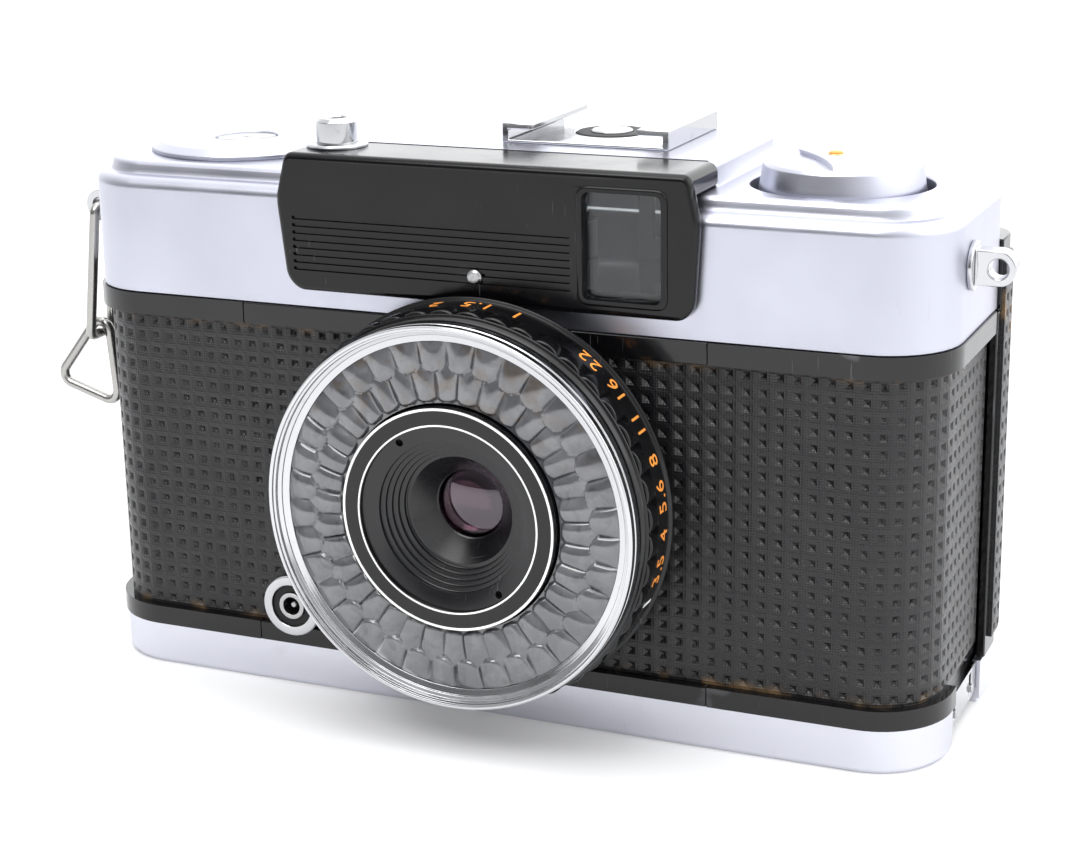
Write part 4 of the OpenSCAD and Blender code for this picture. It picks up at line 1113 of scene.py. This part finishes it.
def make_stage():
    mesh = bpy.data.meshes.new("floor")
    reach = 3.0
    mesh.from_pydata([(-reach, -reach, 0), (reach, -reach, 0), (reach, reach, 0),
                      (-reach, reach, 0)], [], [(0, 1, 2, 3)])
    floor = bpy.data.objects.new("floor", mesh)
    bpy.context.scene.collection.objects.link(floor)
    plain = bpy.data.materials.new("floor")
    plain.use_nodes = True
    shader = plain.node_tree.nodes["Principled BSDF"]
    shader.inputs["Base Color"].default_value = (0.72, 0.72, 0.725, 1)
    shader.inputs["Emission Color"].default_value = (1, 1, 1, 1)
    shader.inputs["Emission Strength"].default_value = 0.12
    shader.inputs["Roughness"].default_value = 0.9
    mesh.materials.append(plain)


def softbox(name, place, target, size, power):
    light = bpy.data.lights.new(name, "AREA")
    light.shape = "RECTANGLE"
    light.size, light.size_y = size
    light.energy = power
    made = bpy.data.objects.new(name, light)
    made.location = place
    made.rotation_euler = (Vector(target) - Vector(place)).to_track_quat("-Z", "Y").to_euler()
    bpy.context.scene.collection.objects.link(made)


def make_world():
    world = bpy.data.worlds.new("studio")
    world.use_nodes = True
    tree = world.node_tree
    coordinate = tree.nodes.new("ShaderNodeTexCoord")
    toward = tree.nodes.new("ShaderNodeVectorMath")
    toward.operation = "DOT_PRODUCT"
    toward.inputs[1].default_value = (0.3, 0.6, 0.3)
    tree.links.new(coordinate.outputs["Generated"], toward.inputs[0])
    ramp = tree.nodes.new("ShaderNodeMapRange")
    for key, number in zip(("From Min", "From Max", "To Min", "To Max"), (-0.66, 0.5, 0.08, 2.3)):
        ramp.inputs[key].default_value = number
    tree.links.new(toward.outputs["Value"], ramp.inputs["Value"])
    background = tree.nodes["Background"]
    background.inputs["Color"].default_value = (0.985, 0.99, 1.0, 1)
    tree.links.new(ramp.outputs[0], background.inputs["Strength"])
    path = tree.nodes.new("ShaderNodeLightPath")
    white = tree.nodes.new("ShaderNodeBackground")
    white.inputs["Color"].default_value = (1, 1, 1, 1)
    white.inputs["Strength"].default_value = 1.2
    mix = tree.nodes.new("ShaderNodeMixShader")
    tree.links.new(path.outputs["Is Camera Ray"], mix.inputs[0])
    tree.links.new(background.outputs[0], mix.inputs[1])
    tree.links.new(white.outputs[0], mix.inputs[2])
    tree.links.new(mix.outputs[0], tree.nodes["World Output"].inputs["Surface"])
    bpy.context.scene.world = world


CAMERA_AT = (105.64, -241.96, 110.99)
CAMERA_TURNS = (23.65, 16.47, -1.05)
CAMERA_LENS = 75.18


def make_camera():
    azimuth, elevation, roll = (math.radians(a) for a in CAMERA_TURNS)
    back = Vector((math.sin(azimuth) * math.cos(elevation),
                   -math.cos(azimuth) * math.cos(elevation), math.sin(elevation)))
    right = Vector((math.cos(azimuth), math.sin(azimuth), 0))
    up = back.cross(right)
    rolled = right * math.cos(roll) + up * math.sin(roll)
    top = up * math.cos(roll) - right * math.sin(roll)
    camera = bpy.data.cameras.new("camera")
    camera.sensor_width = 36
    camera.lens = CAMERA_LENS
    camera.clip_start, camera.clip_end = 0.01, 20
    made = bpy.data.objects.new("camera", camera)
    x, y, z = CAMERA_AT
    made.matrix_world = Matrix((
        (rolled.x, top.x, back.x, x * MM), (rolled.y, top.y, back.y, y * MM),
        (rolled.z, top.z, back.z, z * MM), (0, 0, 0, 1)))
    bpy.context.scene.collection.objects.link(made)
    bpy.context.scene.camera = made


make_stage()
make_world()
make_camera()
softbox("key", (0.5, -0.05, 0.35), (0.03, 0, 0.04), (0.4, 0.4), 0.7)
softbox("overhead", (0, -0.08, 0.45), (0, -0.06, 0), (0.3, 0.3), 0.6)
softbox("front", (-0.09, -0.36, 0.44), (0.02, 0, 0.03), (0.3, 0.2), 1.0)
bpy.context.scene.view_settings.view_transform = "Standard"
